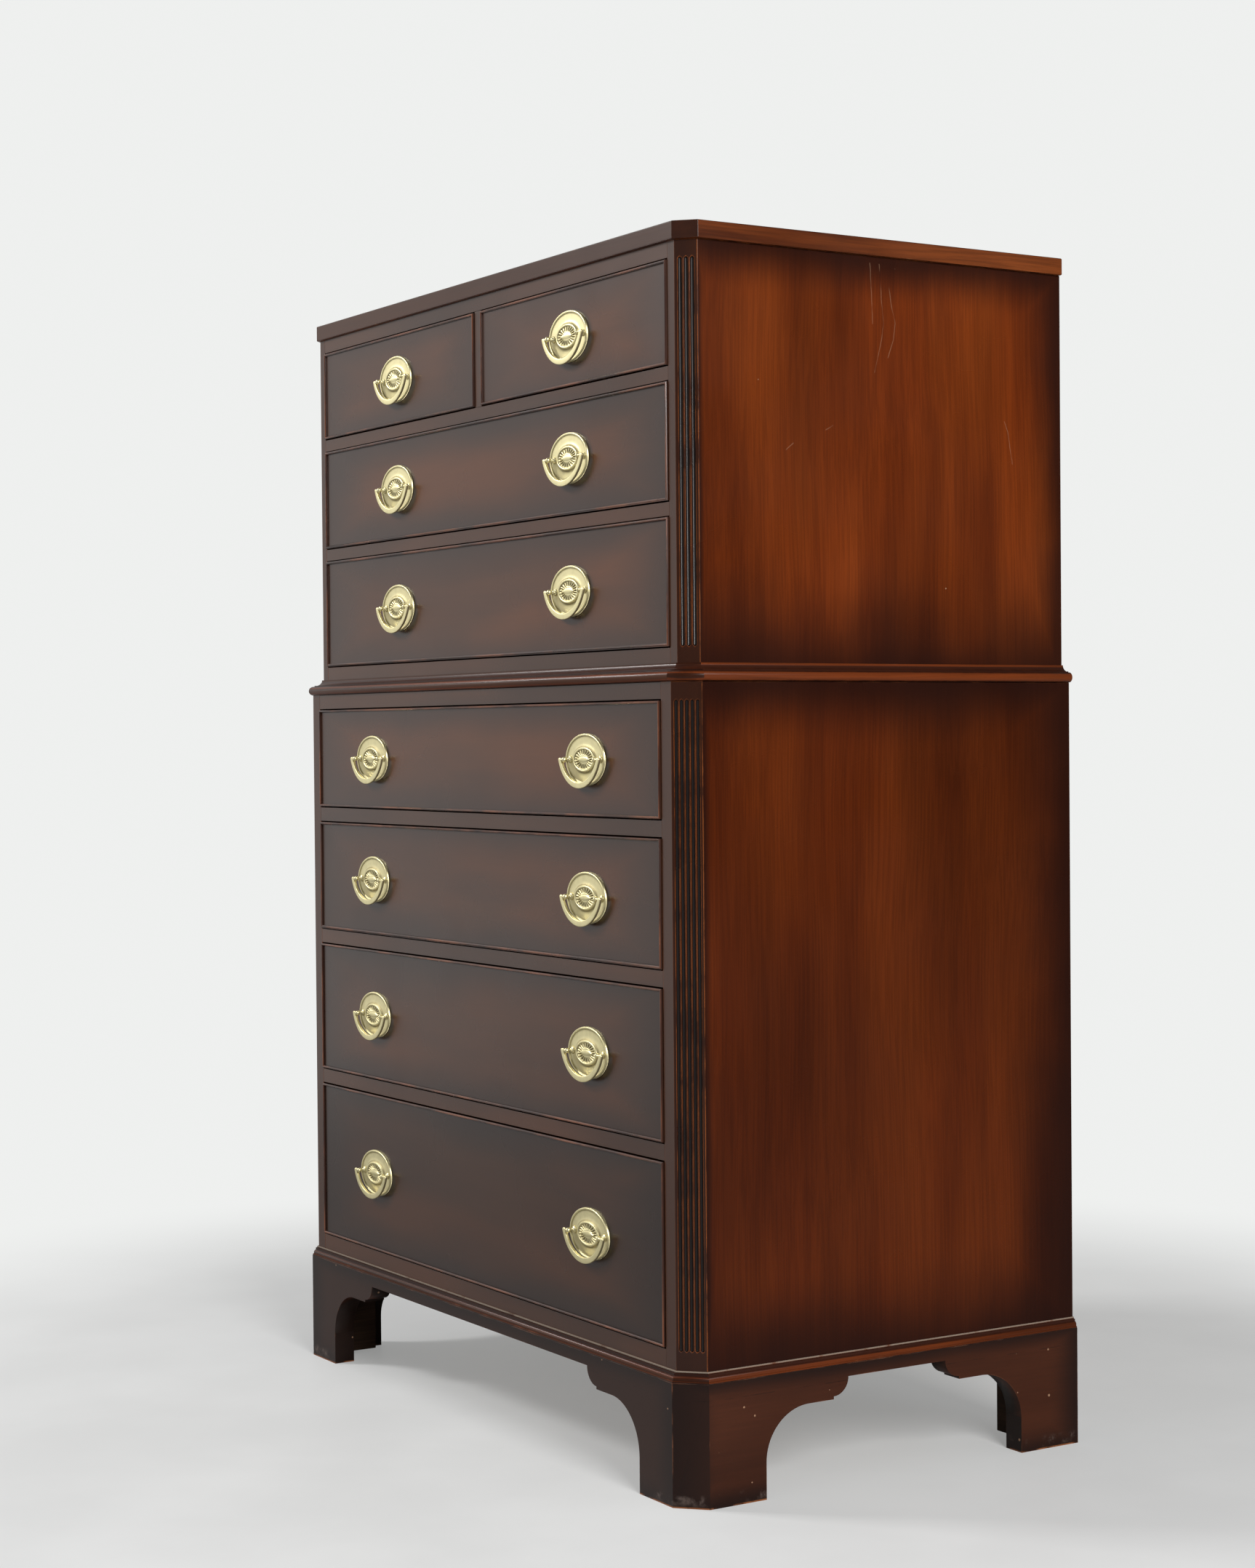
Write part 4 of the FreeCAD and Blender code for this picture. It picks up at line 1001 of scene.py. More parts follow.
@dataclass(frozen=True)
class Pull:
    """One brass pull: an oval plate with a gadrooned medallion, two posts, nuts and a bail."""

    plate: Span = (43.0 * MM, 30.0 * MM)
    rim: Span = (39.6 * MM, 26.8 * MM)
    medallion: Span = (23.6 * MM, 14.2 * MM)
    ring: Span = (20.2 * MM, 11.4 * MM)
    field_height: float = 1.5 * MM
    rim_rise: float = 1.2 * MM
    rim_turn: float = 0.3 * math.pi
    medallion_height: float = 3.4 * MM
    medallion_slope: float = 0.8 * MM
    sweep_power: float = 7.0
    ring_rise: float = 1.1 * MM
    eye: Span = (14.0 * MM, 4.1 * MM)
    eye_height: float = 4.7 * MM
    eye_power: float = 0.7
    eye_tip: float = 0.2 * MM
    gadroons: int = 20
    gadroon_depth: float = 1.5 * MM
    gadroon_reach: float = 0.54
    gadroon_power: float = 0.85
    gadroon_fade: float = 0.5
    valley_tone: float = 1.15
    back_share: float = 0.5
    rim_foot: tuple[float, float, float] = (0.85, 1.0, 0.45)
    field_foot: tuple[float, float, float] = (0.2, 0.0, 0.45)
    # Partly patina and partly painted shade round the medallion's foot
    medallion_foot: tuple[float, float, float] = (0.9, 0.1, 0.8)
    ring_foot: tuple[float, float, float] = (0.8, 1.0, 0.6)
    plate_points: int = 132
    roll_rings: int = 11
    field_rings: int = 12
    inner_rings: int = 30
    post_half: float = 33.5 * MM
    reach: float = 9.5 * MM
    head: Span = (2.9 * MM, 3.2 * MM)
    head_bend: Span = (-0.42 * math.pi, 0.499 * math.pi)
    head_rings: int = 15
    post_points: int = 28
    collar_radii: tuple[float, ...] = (1.0, 4.1, 4.3, 3.9, 2.6, 2.1, 2.1)
    collar_heights: tuple[float, ...] = (0.9, 1.0, 1.9, 2.5, 3.0, 3.6, 4.6)
    front_thickness: float = 20.0 * MM
    nut_half: float = 4.5 * MM
    nut_thickness: float = 4.0 * MM
    nut_sizes: tuple[float, ...] = (0.93, 1.0, 1.0, 0.93, 0.5)
    nut_depths: tuple[float, ...] = (1.0, 0.88, 0.12, 0.0, 0.0)
    nut_points: int = 48
    corner_power: float = 6.0
    bail_half: float = 45.0 * MM
    bail_drop: float = 33.0 * MM
    bail_breadth: float = 6.8 * MM
    bail_end: float = 6.0 * MM
    bail_ear: float = 3.5 * MM
    ear_height: float = 2.3 * MM
    bail_thickness: float = 3.4 * MM
    bail_rings: int = 61
    ear_rings: int = 9
    bail_points: int = 28
    pintle_radius: float = 1.5 * MM
    pintle_length: float = 8.5 * MM
    pintle_radii: tuple[float, ...] = (1.0, 1.0, 1.0, 0.8, 0.45)
    pintle_shares: tuple[float, ...] = (0.0, 0.5, 0.93, 0.98, 1.0)
    pintle_points: int = 20

    def plate_surface(self) -> Surface:
        """Return the plate, its origin on the drawer's face.

        Every ring is an ellipse; the rings go from the wood round the rolled rim, over a field that
        sweeps up to the medallion, over the half-round ring of the medallion and in to the eye.
        Inside the ring the height is a slope with gadroons: a cosine of the angle, sharpened, whose
        depth dies out at both ends. The eye is an almond dome: its half breadth is one less the
        square of the share of its length, and it is laid over the gadroons by taking the greater
        height.

        Returns:
            The surface.
        """
        angle = circle(self.plate_points)
        roll = np.linspace(0.0, np.pi, self.roll_rings)
        share, rolled = (1.0 - np.cos(roll)) / 2.0, np.sin(roll)
        sweep = np.linspace(0.0, 1.0, self.field_rings)[1:]
        inward = np.linspace(0.0, 1.0, self.inner_rings)[1:-1]
        plate, rim, medallion, ring = (np.array(size) for size in (
            self.plate, self.rim, self.medallion, self.ring))

        def between(outer: np.ndarray, inner: np.ndarray, part: np.ndarray) -> np.ndarray:
            """Return ring sizes from an outer to an inner ellipse."""
            return outer + (inner - outer) * part[:, None]

        back = np.stack([plate * self.back_share, plate])
        sizes = np.concatenate([back, between(plate, rim, share), between(rim, medallion, sweep),
                                between(medallion, ring, share)[1:],
                                between(ring, ring * 0.0, inward)])
        outside = np.zeros(len(sizes) - len(inward))
        base = np.concatenate([
            np.zeros(2),
            self.field_height * np.minimum(roll / self.rim_turn, 1.0) + self.rim_rise * rolled,
            self.field_height
            + (self.medallion_height - self.field_height) * sweep ** self.sweep_power,
            self.medallion_height + self.ring_rise * rolled[1:],
            self.medallion_height + self.medallion_slope * inward])
        fade = np.sin(np.pi * ramp(inward, 0.0, self.gadroon_reach)) ** self.gadroon_fade
        wave = 0.5 - 0.5 * np.cos(self.gadroons * angle)
        valley = np.concatenate([outside, fade])[:, None] * (1.0 - wave ** self.gadroon_power)
        across = sizes[:, 0:1] * np.cos(angle)
        upward = sizes[:, 1:2] * np.sin(angle)
        height = base[:, None] - self.gadroon_depth * valley
        slim = self.eye[1] * (1.0 - (across / self.eye[0]) ** 2)
        inside = np.clip(1.0 - (upward / np.maximum(slim, self.eye_tip)) ** 2, 0.0, 1.0)
        inside *= (np.abs(across) < self.eye[0]) * np.concatenate(
            [outside, np.ones_like(inward)])[:, None]
        rise = self.eye_height - self.medallion_height
        dome = (self.medallion_height + rise * inside ** self.eye_power) * (inside > 0.0)
        foot = self.plate_foot(share, sweep, len(inward))
        hollow = np.maximum(valley * self.valley_tone, foot[:, None])
        hollow = np.clip(hollow * (dome <= height), 0.0, 1.0)
        points = np.stack([across, -np.maximum(height, dome), upward], axis=-1)
        return Surface.rings(points, hollow)

    def plate_foot(self, share: np.ndarray, sweep: np.ndarray, inner: int) -> np.ndarray:
        """Return how dull each ring is: at the foot of the rim, of the medallion and of its ring.

        A foot is a ramp from one place to another, or a bell about a place, times its tone.

        Args:
            share: How far each ring of a roll is across it.
            sweep: How far each ring of the field is across it.
            inner: The number of rings inside the medallion's ring.

        Returns:
            The dullness by ring.
        """
        # The bell round the medallion's foot is partly patina and partly painted shade: the shadow
        # that the raised medallion casts on the field
        middle, breadth, tone = self.medallion_foot
        bell = tone * np.exp(-((sweep - middle) / breadth) ** 2)
        rim, field_start, ring = (
            foot[2] * ramp(rings, foot[0], foot[1])
            for foot, rings in ((self.rim_foot, share), (self.field_foot, sweep),
                                (self.ring_foot, share[1:])))
        return np.concatenate([np.zeros(2), rim, field_start + bell, ring, np.zeros(inner)])

    def turned(self, radii: np.ndarray, heights: np.ndarray, x: float,
               flat: float = 1.0) -> Surface:
        """Return a turned piece that stands on the plate at one place along it.

        Every ring is a circle of its radius, its length along X times flat, at its height.

        Args:
            radii: The radii from the foot to the top.
            heights: The heights from the foot to the top.
            x: The place along the plate.
            flat: How much the piece is narrowed along X.

        Returns:
            The surface.
        """
        angle = circle(self.post_points)
        points = np.stack([x + flat * radii[:, None] * np.cos(angle),
                           np.repeat(-heights[:, None], len(angle), axis=1),
                           radii[:, None] * np.sin(angle)], axis=-1)
        return Surface.rings(points)

    def nut(self, x: float) -> Surface:
        """Return a square nut behind the drawer front: rings that are a superellipse.

        Args:
            x: The place along the plate.

        Returns:
            The surface.
        """
        angle = circle(self.nut_points)
        power = self.corner_power
        square = np.abs(np.cos(angle)) ** power + np.abs(np.sin(angle)) ** power
        ring = np.array(self.nut_sizes)[:, None] * self.nut_half * square ** (-1.0 / power)
        depth = self.front_thickness + np.array(self.nut_depths) * self.nut_thickness
        points = np.stack([x + ring * np.cos(angle),
                           np.repeat(depth[:, None], len(angle), axis=1),
                           ring * np.sin(angle)], axis=-1)
        return Surface.rings(points)

    def post_surfaces(self) -> list[Surface]:
        """Return both posts and both nuts: a collar and neck, an oval head and a square nut.

        Returns:
            The surfaces.
        """
        bend = np.linspace(*self.head_bend, self.head_rings)
        narrow, wide = self.head
        collar = np.array([self.collar_radii, self.collar_heights]) * MM
        parts = []
        for x in (-self.post_half, self.post_half):
            parts += [
                self.turned(collar[0], collar[1], x),
                self.turned(wide * np.cos(bend), self.reach + wide * np.sin(bend), x,
                            narrow / wide),
                self.nut(x)]
        return parts

    @staticmethod
    def bow(half: float, drop: float, turn: np.ndarray) -> np.ndarray:
        """Return X and Z of a hanging bow: an arc through its two ends and its lowest point.

        Args:
            half: Half the distance between its ends.
            drop: How far it hangs below them.
            turn: The place along the arc, from -1 to 1.

        Returns:
            The places.
        """
        radius = (half ** 2 + drop ** 2) / (2.0 * drop)
        angle = turn * math.asin(half / radius)
        return np.stack([radius * np.sin(angle), radius - drop - radius * np.cos(angle)], axis=-1)

    def bail_surface(self) -> Surface:
        """Return the bail, its origin on the line of its pintles.

        The path runs up each ear and along the bow. The section is a rounded oblong whose corners
        are a superellipse: its breadth spans the outer and the inner arc, its depth is the
        thickness, and both shrink in a quarter round at the ears' ends.

        Returns:
            The surface.
        """
        turn = np.linspace(-1.0, 1.0, self.bail_rings)
        outer = self.bow(self.bail_half, self.bail_drop, turn)
        inner = self.bow(self.bail_half - self.bail_end, self.bail_drop - self.bail_breadth, turn)
        quarter = np.linspace(0.0, 0.5 * np.pi, self.ear_rings)[:-1]
        close = np.sin(quarter)
        lift = np.stack([np.zeros_like(quarter), self.ear_height * np.cos(quarter)], axis=-1)
        middle, spread = (outer + inner) / 2.0, (outer - inner) / 2.0
        middles = np.concatenate([middle[0] + lift, middle, (middle[-1] + lift)[::-1]])
        spreads = np.concatenate([spread[0] * close[:, None], spread,
                                  (spread[-1] * close[:, None])[::-1]])
        depths = np.concatenate([close, np.ones(len(turn)), close[::-1]])
        angle = circle(self.bail_points)
        power = 2.0 / self.corner_power
        wide = np.sign(np.cos(angle)) * np.abs(np.cos(angle)) ** power
        deep = np.sign(np.sin(angle)) * np.abs(np.sin(angle)) ** power
        flat = middles[:, None, :] + spreads[:, None, :] * wide[None, :, None]
        out = depths[:, None] * deep * self.bail_thickness / 2.0
        points = np.stack([flat[..., 0], out, flat[..., 1]], axis=-1)
        return Surface.joined([Surface.rings(points), self.pintle(1.0), self.pintle(-1.0)])

    def pintle(self, side: float) -> Surface:
        """Return the pin that runs in from an ear to its post: rings along X, domed at the tip.

        Args:
            side: 1 for the right-hand ear, -1 for the left-hand one.

        Returns:
            The surface.
        """
        start = self.bail_half - self.bail_end / 2.0
        angle = circle(self.pintle_points)
        radius = self.pintle_radius * np.array(self.pintle_radii)
        along = side * (start - np.array(self.pintle_shares) * self.pintle_length)
        points = np.stack([np.repeat(along[:, None], len(angle), axis=1),
                           side * radius[:, None] * np.cos(angle),
                           radius[:, None] * np.sin(angle)], axis=-1)
        return Surface.rings(points)


@dataclass(frozen=True)
class Drawer:
    """One drawer: its nodes, the grain and tone of its front and the places of its pulls."""

    name: str
    seed: float
    # How dark the front is; lower drawers are darker as painted shade
    tone: float
    pulls: tuple[str, ...] = ("_left", "_right")
    bead_projection: float = 2.6 * MM
    fades: tuple[float, float, float, float] = (0.15, 0.15, 0.055, 0.055)
    # How far each pull's painted shadow is moved right and down from its pivot
    grime_shift: float = 4.0 * MM
    front_softening: float = 0.5 * MM
    box_softening: float = 0.6 * MM

    def front_plane(self) -> float:
        """Return the Y of the drawer's face, behind the cock bead that stands out of it."""
        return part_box(self.name + "_front")[0].y + self.bead_projection

    def pivots(self, pull: Pull) -> dict[str, np.ndarray]:
        """Return the middle of each bail's hinge line, by the bail's node.

        Args:
            pull: The pull's sizes.

        Returns:
            The places.
        """
        places = {}
        for label in self.pulls:
            bail = self.name + "_bail" + label
            low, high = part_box(bail)
            places[bail] = np.array([(low.x + high.x) / 2.0, self.front_plane() - pull.reach,
                                     high.z - pull.bail_ear])
        return places

    def dress(self, groups: Groups, inner: bpy.types.Material, pull: Pull) -> None:
        """Give the front and the box their wood.

        Args:
            groups: The shared effects.
            inner: The bare wood of the box.
            pull: The pull's sizes.
        """
        front = self.name + "_front"
        # Each pull's painted shadow, moved right and down as a lamp at the front left would cast it
        layers: list[Layer] = [
            PullShadow(pivot[0] + self.grime_shift, pivot[2] - self.grime_shift)
            for pivot in self.pivots(pull).values()]
        layers.append(Bead(self.front_plane()))
        wood = FRONT_WOOD.toned(self.tone).material(
            front + "_wood", groups, self.seed, Panel.of_node(front, Face.FRONT, self.fades),
            under=layers)
        dress_node(front, wood, self.front_softening)
        dress_node(self.name + "_box", inner, self.box_softening)

    def fit_pulls(self, pull: Pull, brass: bpy.types.Material, hollow_attribute: str) -> None:
        """Make the drawer's pulls in place of the plain ones.

        Args:
            pull: The pull's sizes and shapes.
            brass: The brass.
            hollow_attribute: The attribute that keeps the hollow depth.
        """
        parts = []
        for bail, pivot in self.pivots(pull).items():
            made = pull.bail_surface().moved(pivot).object(bail + "_brass", brass,
                                                           hollow_attribute)
            settle(made, bail, bail)
            origin = pivot + np.array([0.0, pull.reach, 0.0])
            shapes = [pull.plate_surface()] + pull.post_surfaces()
            parts += [shape.moved(origin) for shape in shapes]
        plates = self.name + "_plates"
        made = Surface.joined(parts).object(plates + "_brass", brass, hollow_attribute)
        settle(made, self.name, plates)


def settle(piece: bpy.types.Object, body: str, node: str) -> None:
    """Let a brass piece ride on its body in place of a node.

    Args:
        piece: The new piece.
        body: The body that carries it.
        node: The node that it stands for.
    """
    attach(piece, body)
    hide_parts(node)
    LOG.info("made %s on %s", piece.name, body)


def dress_node(node: str, wood: bpy.types.Material, softening: float) -> None:
    """Give a node its wood, join its triangles and soften its arrises.

    Args:
        node: The node.
        wood: Its material.
        softening: The width of the softened arris.
    """
    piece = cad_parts[node]
    piece.data.materials.clear()
    piece.data.materials.append(wood)
    weld = piece.modifiers.new("weld", "WELD")
    weld.merge_threshold = WELD_GAP
    bevel = piece.modifiers.new("softened_arris", "BEVEL")
    bevel.width = softening
    bevel.segments = ARRIS_SEGMENTS
    bevel.limit_method = "ANGLE"
    bevel.angle_limit = ARRIS_ANGLE
    bevel.harden_normals = True
    LOG.info("dressed %s", node)


@dataclass(frozen=True)
class Carcase:
    """Both cases, their mouldings and the plinth."""

    groups: Groups
    cants: dict[str, float] = field(
        default_factory=lambda: {"upper": 18.3 * MM, "lower": 24.7 * MM})
    board_softening: float = 0.6 * MM
    rail_softening: float = 0.5 * MM
    post_softening: float = 0.4 * MM
    moulding_softening: float = 0.3 * MM
    plinth_softening: float = 0.7 * MM
    block_softening: float = 0.8 * MM
    rail_tone: float = 0.58
    plinth_fades: tuple[float, float, float, float] = (0.045, 0.045, 0.030, 0.020)
    # Painted shade in each moulding's hollow, between these shares of its height
    hollow_shares: Span = (0.50, 0.88)
    hollow_painted_shade: Colour = (0.018, 0.0058, 0.0036)
    # A near-black band along each moulding's lowest edge
    foot_share: float = 0.05
    foot_dark: Colour = (0.010, 0.0040, 0.0028)
    ledge_share: float = 0.90
    ledge_dust: Colour = (0.28, 0.23, 0.18)
    past_end: float = 1.0 * MM

    def dress_sides(self) -> None:
        """Give the four side boards their wood, each with its own border and grain."""
        # The dark border is the sides' shaded finish; along the top of the upper side it is also
        # painted shade under the top board's overhang
        fades = {"upper": (0.008, 0.060, 0.150, 0.055), "lower": (0.012, 0.110, 0.120, 0.075)}
        woods = {"upper": SIDE_WOOD, "lower": LOWER_SIDE_WOOD}
        first_seed, seed_step = 1.3, 2.1
        boards = [(case, hand) for case in ("upper", "lower") for hand in ("right", "left")]
        for index, (case, hand) in enumerate(boards):
            node = "%s_side_%s" % (case, hand)
            wood = woods[case].material(
                node + "_wood", self.groups, first_seed + seed_step * index,
                Panel.of_node(node, Face.SIDE, fades[case]),
                scratches=self.scratches() if index == 0 else ())
            dress_node(node, wood, self.board_softening)

    @staticmethod
    def scratches() -> list[Scratch]:
        """Return the ends of each straight run of the scratches on the upper right-hand side."""
        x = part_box("upper_side_right")[1].x
        lines = (((-0.001, 1.372), (0.002, 1.336), (0.003, 1.304)),
                 ((0.012, 1.372), (0.019, 1.305), (0.014, 1.280), (0.005, 1.249)),
                 ((0.026, 1.347), (0.035, 1.306), (0.032, 1.288), (0.024, 1.267)),
                 ((0.193, 1.204), (0.198, 1.193), (0.205, 1.155)),
                 ((-0.063, 1.181), (-0.053, 1.186)), ((-0.118, 1.156), (-0.108, 1.164)))
        return [(Vector((x, *start)), Vector((x, *end)))
                for line in lines for start, end in zip(line, line[1:])]

    def dress_front(self) -> None:
        """Give the rails and the corner posts their wood."""
        rail_seed, post_seed = 7.7, 3.3
        for index, case in enumerate(("upper", "lower")):
            rails = FRONT_WOOD.toned(self.rail_tone).material(case + "_rails_wood", self.groups,
                                                              rail_seed + index)
            dress_node(case + "_front_rails", rails, self.rail_softening)
            for hand in ("right", "left"):
                node = "%s_post_%s" % (case, hand)
                low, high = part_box(node)
                flutes = Flutes(max(abs(low.x), abs(high.x)) - self.cants[case], low.y)
                wood = POST_WOOD.material(node + "_wood", self.groups, post_seed + index,
                                          over=(flutes,))
                dress_node(node, wood, self.post_softening)

    def dress_trim(self) -> None:
        """Give the top board, the mouldings and the plinth their wood."""
        top_seed, moulding_seed, plinth_seed = 5.1, 2.2, 4.4
        dress_node("top_board", TOP_WOOD.material("top_wood", self.groups, top_seed),
                   self.board_softening)
        for index, node in enumerate(("waist_moulding", "base_moulding")):
            wood = MOULDING_WOOD.material(node + "_wood", self.groups, moulding_seed + index,
                                          over=self.moulding_bands(node))
            dress_node(node, wood, self.moulding_softening)
        for index, node in enumerate(("plinth_front", "plinth_right", "plinth_left")):
            face = Face.FRONT if node == "plinth_front" else Face.SIDE
            wood = PLINTH_WOOD.material(node + "_wood", self.groups, plinth_seed + index,
                                        Panel.of_node(node, face, self.plinth_fades),
                                        over=self.foot_bands())
            dress_node(node, wood, self.plinth_softening)

    def moulding_bands(self, node: str) -> list[Band]:
        """Return the painted shade in a moulding's hollow, the dark band along its foot and the
        dust on top of the base's.

        Args:
            node: The moulding.

        Returns:
            The bands.
        """
        low, high = (corner.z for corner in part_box(node))
        rise = high - low
        start, end = (low + share * rise for share in self.hollow_shares)
        # The first band is painted shade in the moulding's hollow
        bands = [Band(start, end, self.hollow_painted_shade),
                 Band(low - self.past_end, low + self.foot_share * rise, self.foot_dark)]
        if node == "base_moulding":
            bands.append(Band(low + self.ledge_share * rise, high + self.past_end,
                              self.ledge_dust, share=0.8, broken=0.36))
        return bands

    @staticmethod
    def foot_bands() -> tuple[Band, ...]:
        """Return the plinth's glue line, the scuffs over the floor and the rubbed lower arris."""
        glue_line = Band(117.6 * MM, 118.2 * MM, (0.006, 0.003, 0.002), soft=0.4 * MM, share=0.8,
                         broken=0.52)
        scuffs = Band(4.0 * MM, 14.0 * MM, (0.13, 0.095, 0.080), soft=4.0 * MM, share=0.6,
                      broken=0.56)
        rubbed = Band(-1.0 * MM, 1.6 * MM, (0.24, 0.085, 0.030), soft=0.6 * MM, share=0.9,
                      broken=0.46)
        return glue_line, scuffs, rubbed

    def dress_inside(self) -> bpy.types.Material:
        """Give the backs and the unseen boards their bare wood.

        Returns:
            The bare wood, for the drawers' boxes.
        """
        back_seed, inner_seed, block_seed = 9.4, 6.6, 8.8
        for index, node in enumerate(("upper_back", "lower_back")):
            back = BACK_WOOD.material(node + "_wood", self.groups, back_seed + index)
            dress_node(node, back, self.board_softening)
        inner = INNER_WOOD.material("inner_wood", self.groups, inner_seed)
        for node in ("upper_runners", "lower_runners", "carcase_boards"):
            dress_node(node, inner, self.board_softening)
        # The rear feet and blocks get the darkened wood: painted shade
        blocks = SHADED_BLOCK_WOOD.material("block_wood_painted_shade", self.groups, block_seed)
        dress_node("rear_feet_and_blocks", blocks, self.block_softening)
        return inner


@dataclass(frozen=True)
class Lamp:
    """One square soft lamp: its place, what it looks at, the side of its square and its watts."""

    name: str
    place: Triple
    target: Triple
    size: float
    power: float

    def build(self) -> None:
        """Build the lamp."""
        light = bpy.data.lights.new(self.name, "AREA")
        light.size = self.size
        light.energy = self.power
        made = bpy.data.objects.new(self.name, light)
        made.location = self.place
        way = Vector(self.target) - Vector(self.place)
        made.rotation_euler = way.to_track_quat("-Z", "Y").to_euler()
        bpy.context.scene.collection.objects.link(made)
        LOG.info("lit %s", self.name)


@dataclass(frozen=True)
class Studio:
    """The plain studio: floor, light and the camera at the photograph's angle."""

    lamps: tuple[Lamp, ...] = (
        Lamp("key_light", (4.4, -0.9, 2.6), (0.3, 0.0, 0.7), 1.8, 225.0),
        Lamp("fill_light", (-2.6, -3.0, 3.4), (0.0, -0.2, 0.8), 1.0, 140.0))
    floor_radii: tuple[float, ...] = (0.02, 1.0, 3.0, 9.0)
    floor_points: int = 96
    floor_colour: Colour = (0.66, 0.66, 0.655)
    floor_roughness: float = 0.42
    floor_specular: float = 0.3
    reflected_floor_shade: float = 0.5
    floor_clouds: tuple[float, float, float, float] = (0.3, 0.7, 0.94, 1.05)
    cloud_noise: Span = (3.0, 5.0)
    pale_near: tuple[float, float, float, float] = (0.8, 1.7, 0.30, 1.0)
    pale_far: Span = (2.0, 4.5)
    pale: Colour = (0.86, 0.87, 0.86)
    dim: Colour = (0.28, 0.28, 0.285)
    dim_glossy: Colour = (0.07, 0.07, 0.07)
    open_way: Triple = (-0.79, -0.61, 0.0)
    open_span: Span = (0.20, 0.85)
    camera_place: Triple = (2.9936, -1.8955, 0.8395)
    camera_way: Triple = (-0.850058, 0.526419, -0.016881)
    azimuth: float = 58.231
    roll: float = -0.4847
    lens: float = 63.86
    sensor: float = 36.0

    def build(self) -> None:
        """Build the floor, the lamps, the world and the camera."""
        self.build_floor()
        self.build_world()
        for lamp in self.lamps:
            lamp.build()
        self.build_camera()

    def build_floor(self) -> None:
        """Build the floor as a disc: rings of growing radius about the origin."""
        angle = circle(self.floor_points)
        radius = np.array(self.floor_radii)
        points = np.stack([radius[:, None] * np.cos(angle), radius[:, None] * np.sin(angle),
                           np.zeros((len(radius), len(angle)))], axis=-1).reshape(-1, 3)
        index = np.arange(len(points)).reshape(len(radius), len(angle))
        turned = np.roll(index, -1, axis=1)
        quads = np.stack([index[:-1], index[1:], turned[1:], turned[:-1]], axis=-1)
        mesh = bpy.data.meshes.new("floor")
        mesh.from_pydata(points.tolist(), [], quads.reshape(-1, 4).tolist() + [index[0].tolist()])
        floor = bpy.data.objects.new("floor", mesh)
        bpy.context.scene.collection.objects.link(floor)
        mesh.materials.append(self.floor_material())
        LOG.info("laid %s", floor.name)

    def floor_material(self) -> bpy.types.Material:
        """Build the floor: pale near the chest, away from it as pale as the background, and darker
        in reflections as painted shade.

        Returns:
            The material.
        """
        made = bpy.data.materials.new("pale_floor")
        graph = Graph.of(made)
        place = graph.node("TexCoord").outputs["Object"]
        away = graph.measure("LENGTH", place)
        path = graph.node("LightPath").outputs
        seen = graph.times(path["Is Camera Ray"], graph.ease(away, *self.pale_near))
        open_side = self.opened(graph, graph.vector("NORMALIZE", place))
        shiny = graph.times(path["Is Glossy Ray"], open_side, graph.ease(away, *self.pale_far))
        # Seen in reflections the floor takes only a share of its colour: painted shade for the
        # chest's shadow on the floor
        cloud = graph.times(graph.ease(graph.noise(place, *self.cloud_noise), *self.floor_clouds),
                            graph.ease(path["Is Glossy Ray"], 0.0, 1.0, 1.0, self.reflected_floor_shade))
        tone = graph.mix(1.0, self.floor_colour, graph.grey(cloud), "MULTIPLY")
        lit = graph.node("BsdfPrincipled", {"Base Color": tone, "Roughness": self.floor_roughness,
                                            "Specular IOR Level": self.floor_specular})
        pale = graph.node("Emission", {"Color": self.pale, "Strength": 1.0})
        both = graph.node("MixShader", {0: graph.math("MAXIMUM", seen, shiny), 1: lit.outputs[0],
                                        2: pale.outputs[0]})
        graph.node("OutputMaterial", {"Surface": both.outputs[0]})
        return made

    def opened(self, graph: Graph, way: Socket) -> Socket:
        """Return how far a way points to the open side of the studio."""
        return graph.ease(graph.measure("DOT_PRODUCT", way, self.open_way), *self.open_span)

    def build_world(self) -> None:
        """Build the world: pale to the camera and, towards the front left, to glossy rays."""
        world = bpy.data.worlds.new("studio")
        graph = Graph.of(world)
        open_side = self.opened(graph, graph.node("TexCoord").outputs["Generated"])
        path = graph.node("LightPath").outputs
        seen = graph.math("MAXIMUM", path["Is Camera Ray"],
                          graph.times(path["Is Glossy Ray"], open_side))
        seen = graph.math("MAXIMUM", seen, path["Is Transmission Ray"])
        dim = graph.mix(path["Is Glossy Ray"], self.dim, self.dim_glossy)
        back = graph.node("Background", {"Color": graph.mix(seen, dim, self.pale),
                                         "Strength": 1.0})
        graph.node("OutputWorld", {"Surface": back.outputs[0]})
        bpy.context.scene.world = world

    def build_camera(self) -> None:
        """Build the camera from its place, its way, its turn about the way and its lens."""
        way = Vector(self.camera_way).normalized()
        turn, roll = math.radians(self.azimuth), math.radians(self.roll)
        right = Vector((math.cos(turn), math.sin(turn), 0.0))
        up = right.cross(way)
        level = right * math.cos(roll) + up * math.sin(roll)
        rise = up * math.cos(roll) - right * math.sin(roll)
        camera = bpy.data.cameras.new("camera")
        camera.sensor_fit = "AUTO"
        camera.sensor_width = self.sensor
        camera.lens = self.lens
        made = bpy.data.objects.new("camera", camera)
        axes = Matrix((level, rise, -way)).transposed().to_4x4()
        made.matrix_world = Matrix.Translation(self.camera_place) @ axes
        bpy.context.scene.collection.objects.link(made)
        bpy.context.scene.camera = made


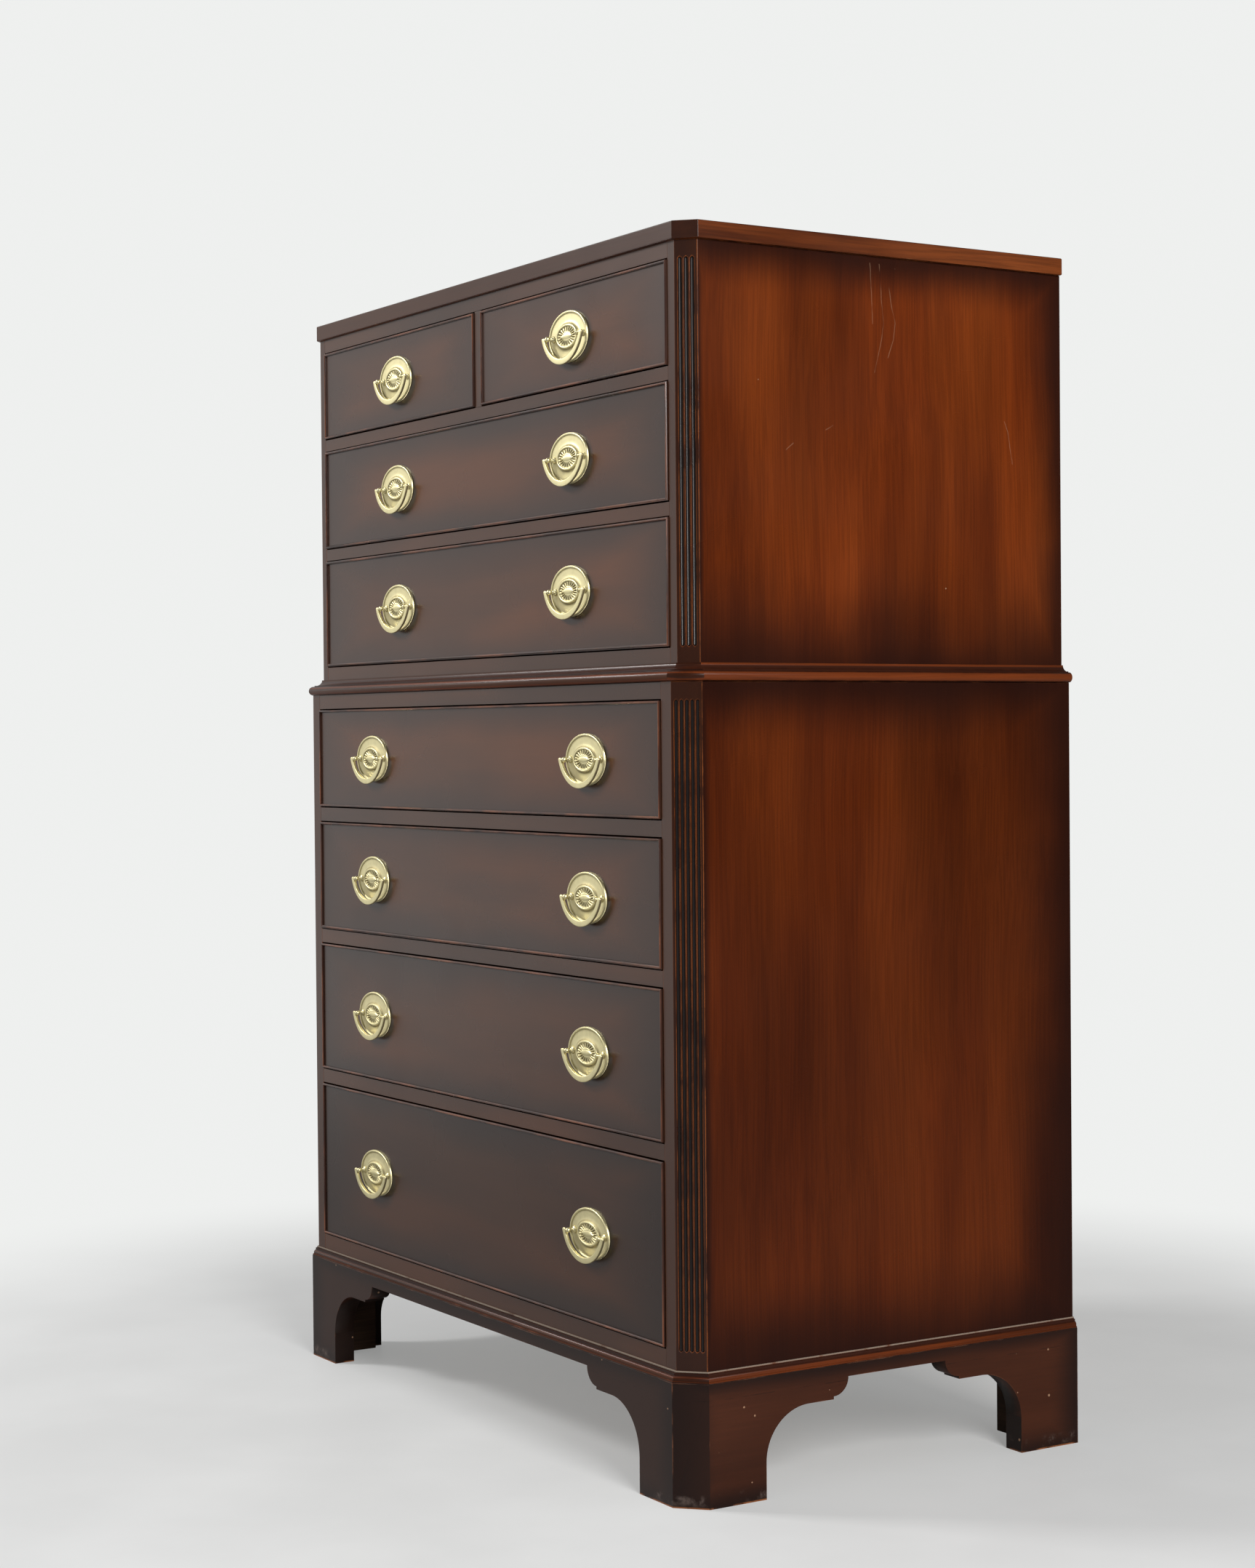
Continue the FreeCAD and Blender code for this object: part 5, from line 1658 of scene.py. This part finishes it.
# The lower case's tones fall from its top drawer to its bottom one: painted shade for the less
# light that reaches the lower fronts
DRAWERS = (
    Drawer("small_drawer_left", 11.3, 1.0, ("",)),
    Drawer("small_drawer_right", 12.9, 1.22, ("",)),
    Drawer("upper_drawer_one", 14.2, 0.80),
    Drawer("upper_drawer_two", 15.8, 0.92),
    Drawer("lower_drawer_one", 17.1, 0.85),
    Drawer("lower_drawer_two", 18.6, 0.75),
    Drawer("lower_drawer_three", 20.4, 0.62),
    Drawer("lower_drawer_four", 22.7, 0.48),
)


def main() -> None:
    """Dress the chest, make its pulls and build the studio."""
    logging.basicConfig(level=logging.INFO, format="%(message)s")
    bpy.context.scene.view_settings.view_transform = "Standard"
    groups = Groups()
    carcase = Carcase(groups)
    carcase.dress_sides()
    carcase.dress_front()
    carcase.dress_trim()
    inner = carcase.dress_inside()
    brass = BrassFinish()
    metal = brass.material()
    pull = Pull()
    for drawer in DRAWERS:
        drawer.dress(groups, inner, pull)
        drawer.fit_pulls(pull, metal, brass.hollow_attribute)
    Studio().build()


if __name__ == "__main__":
    main()
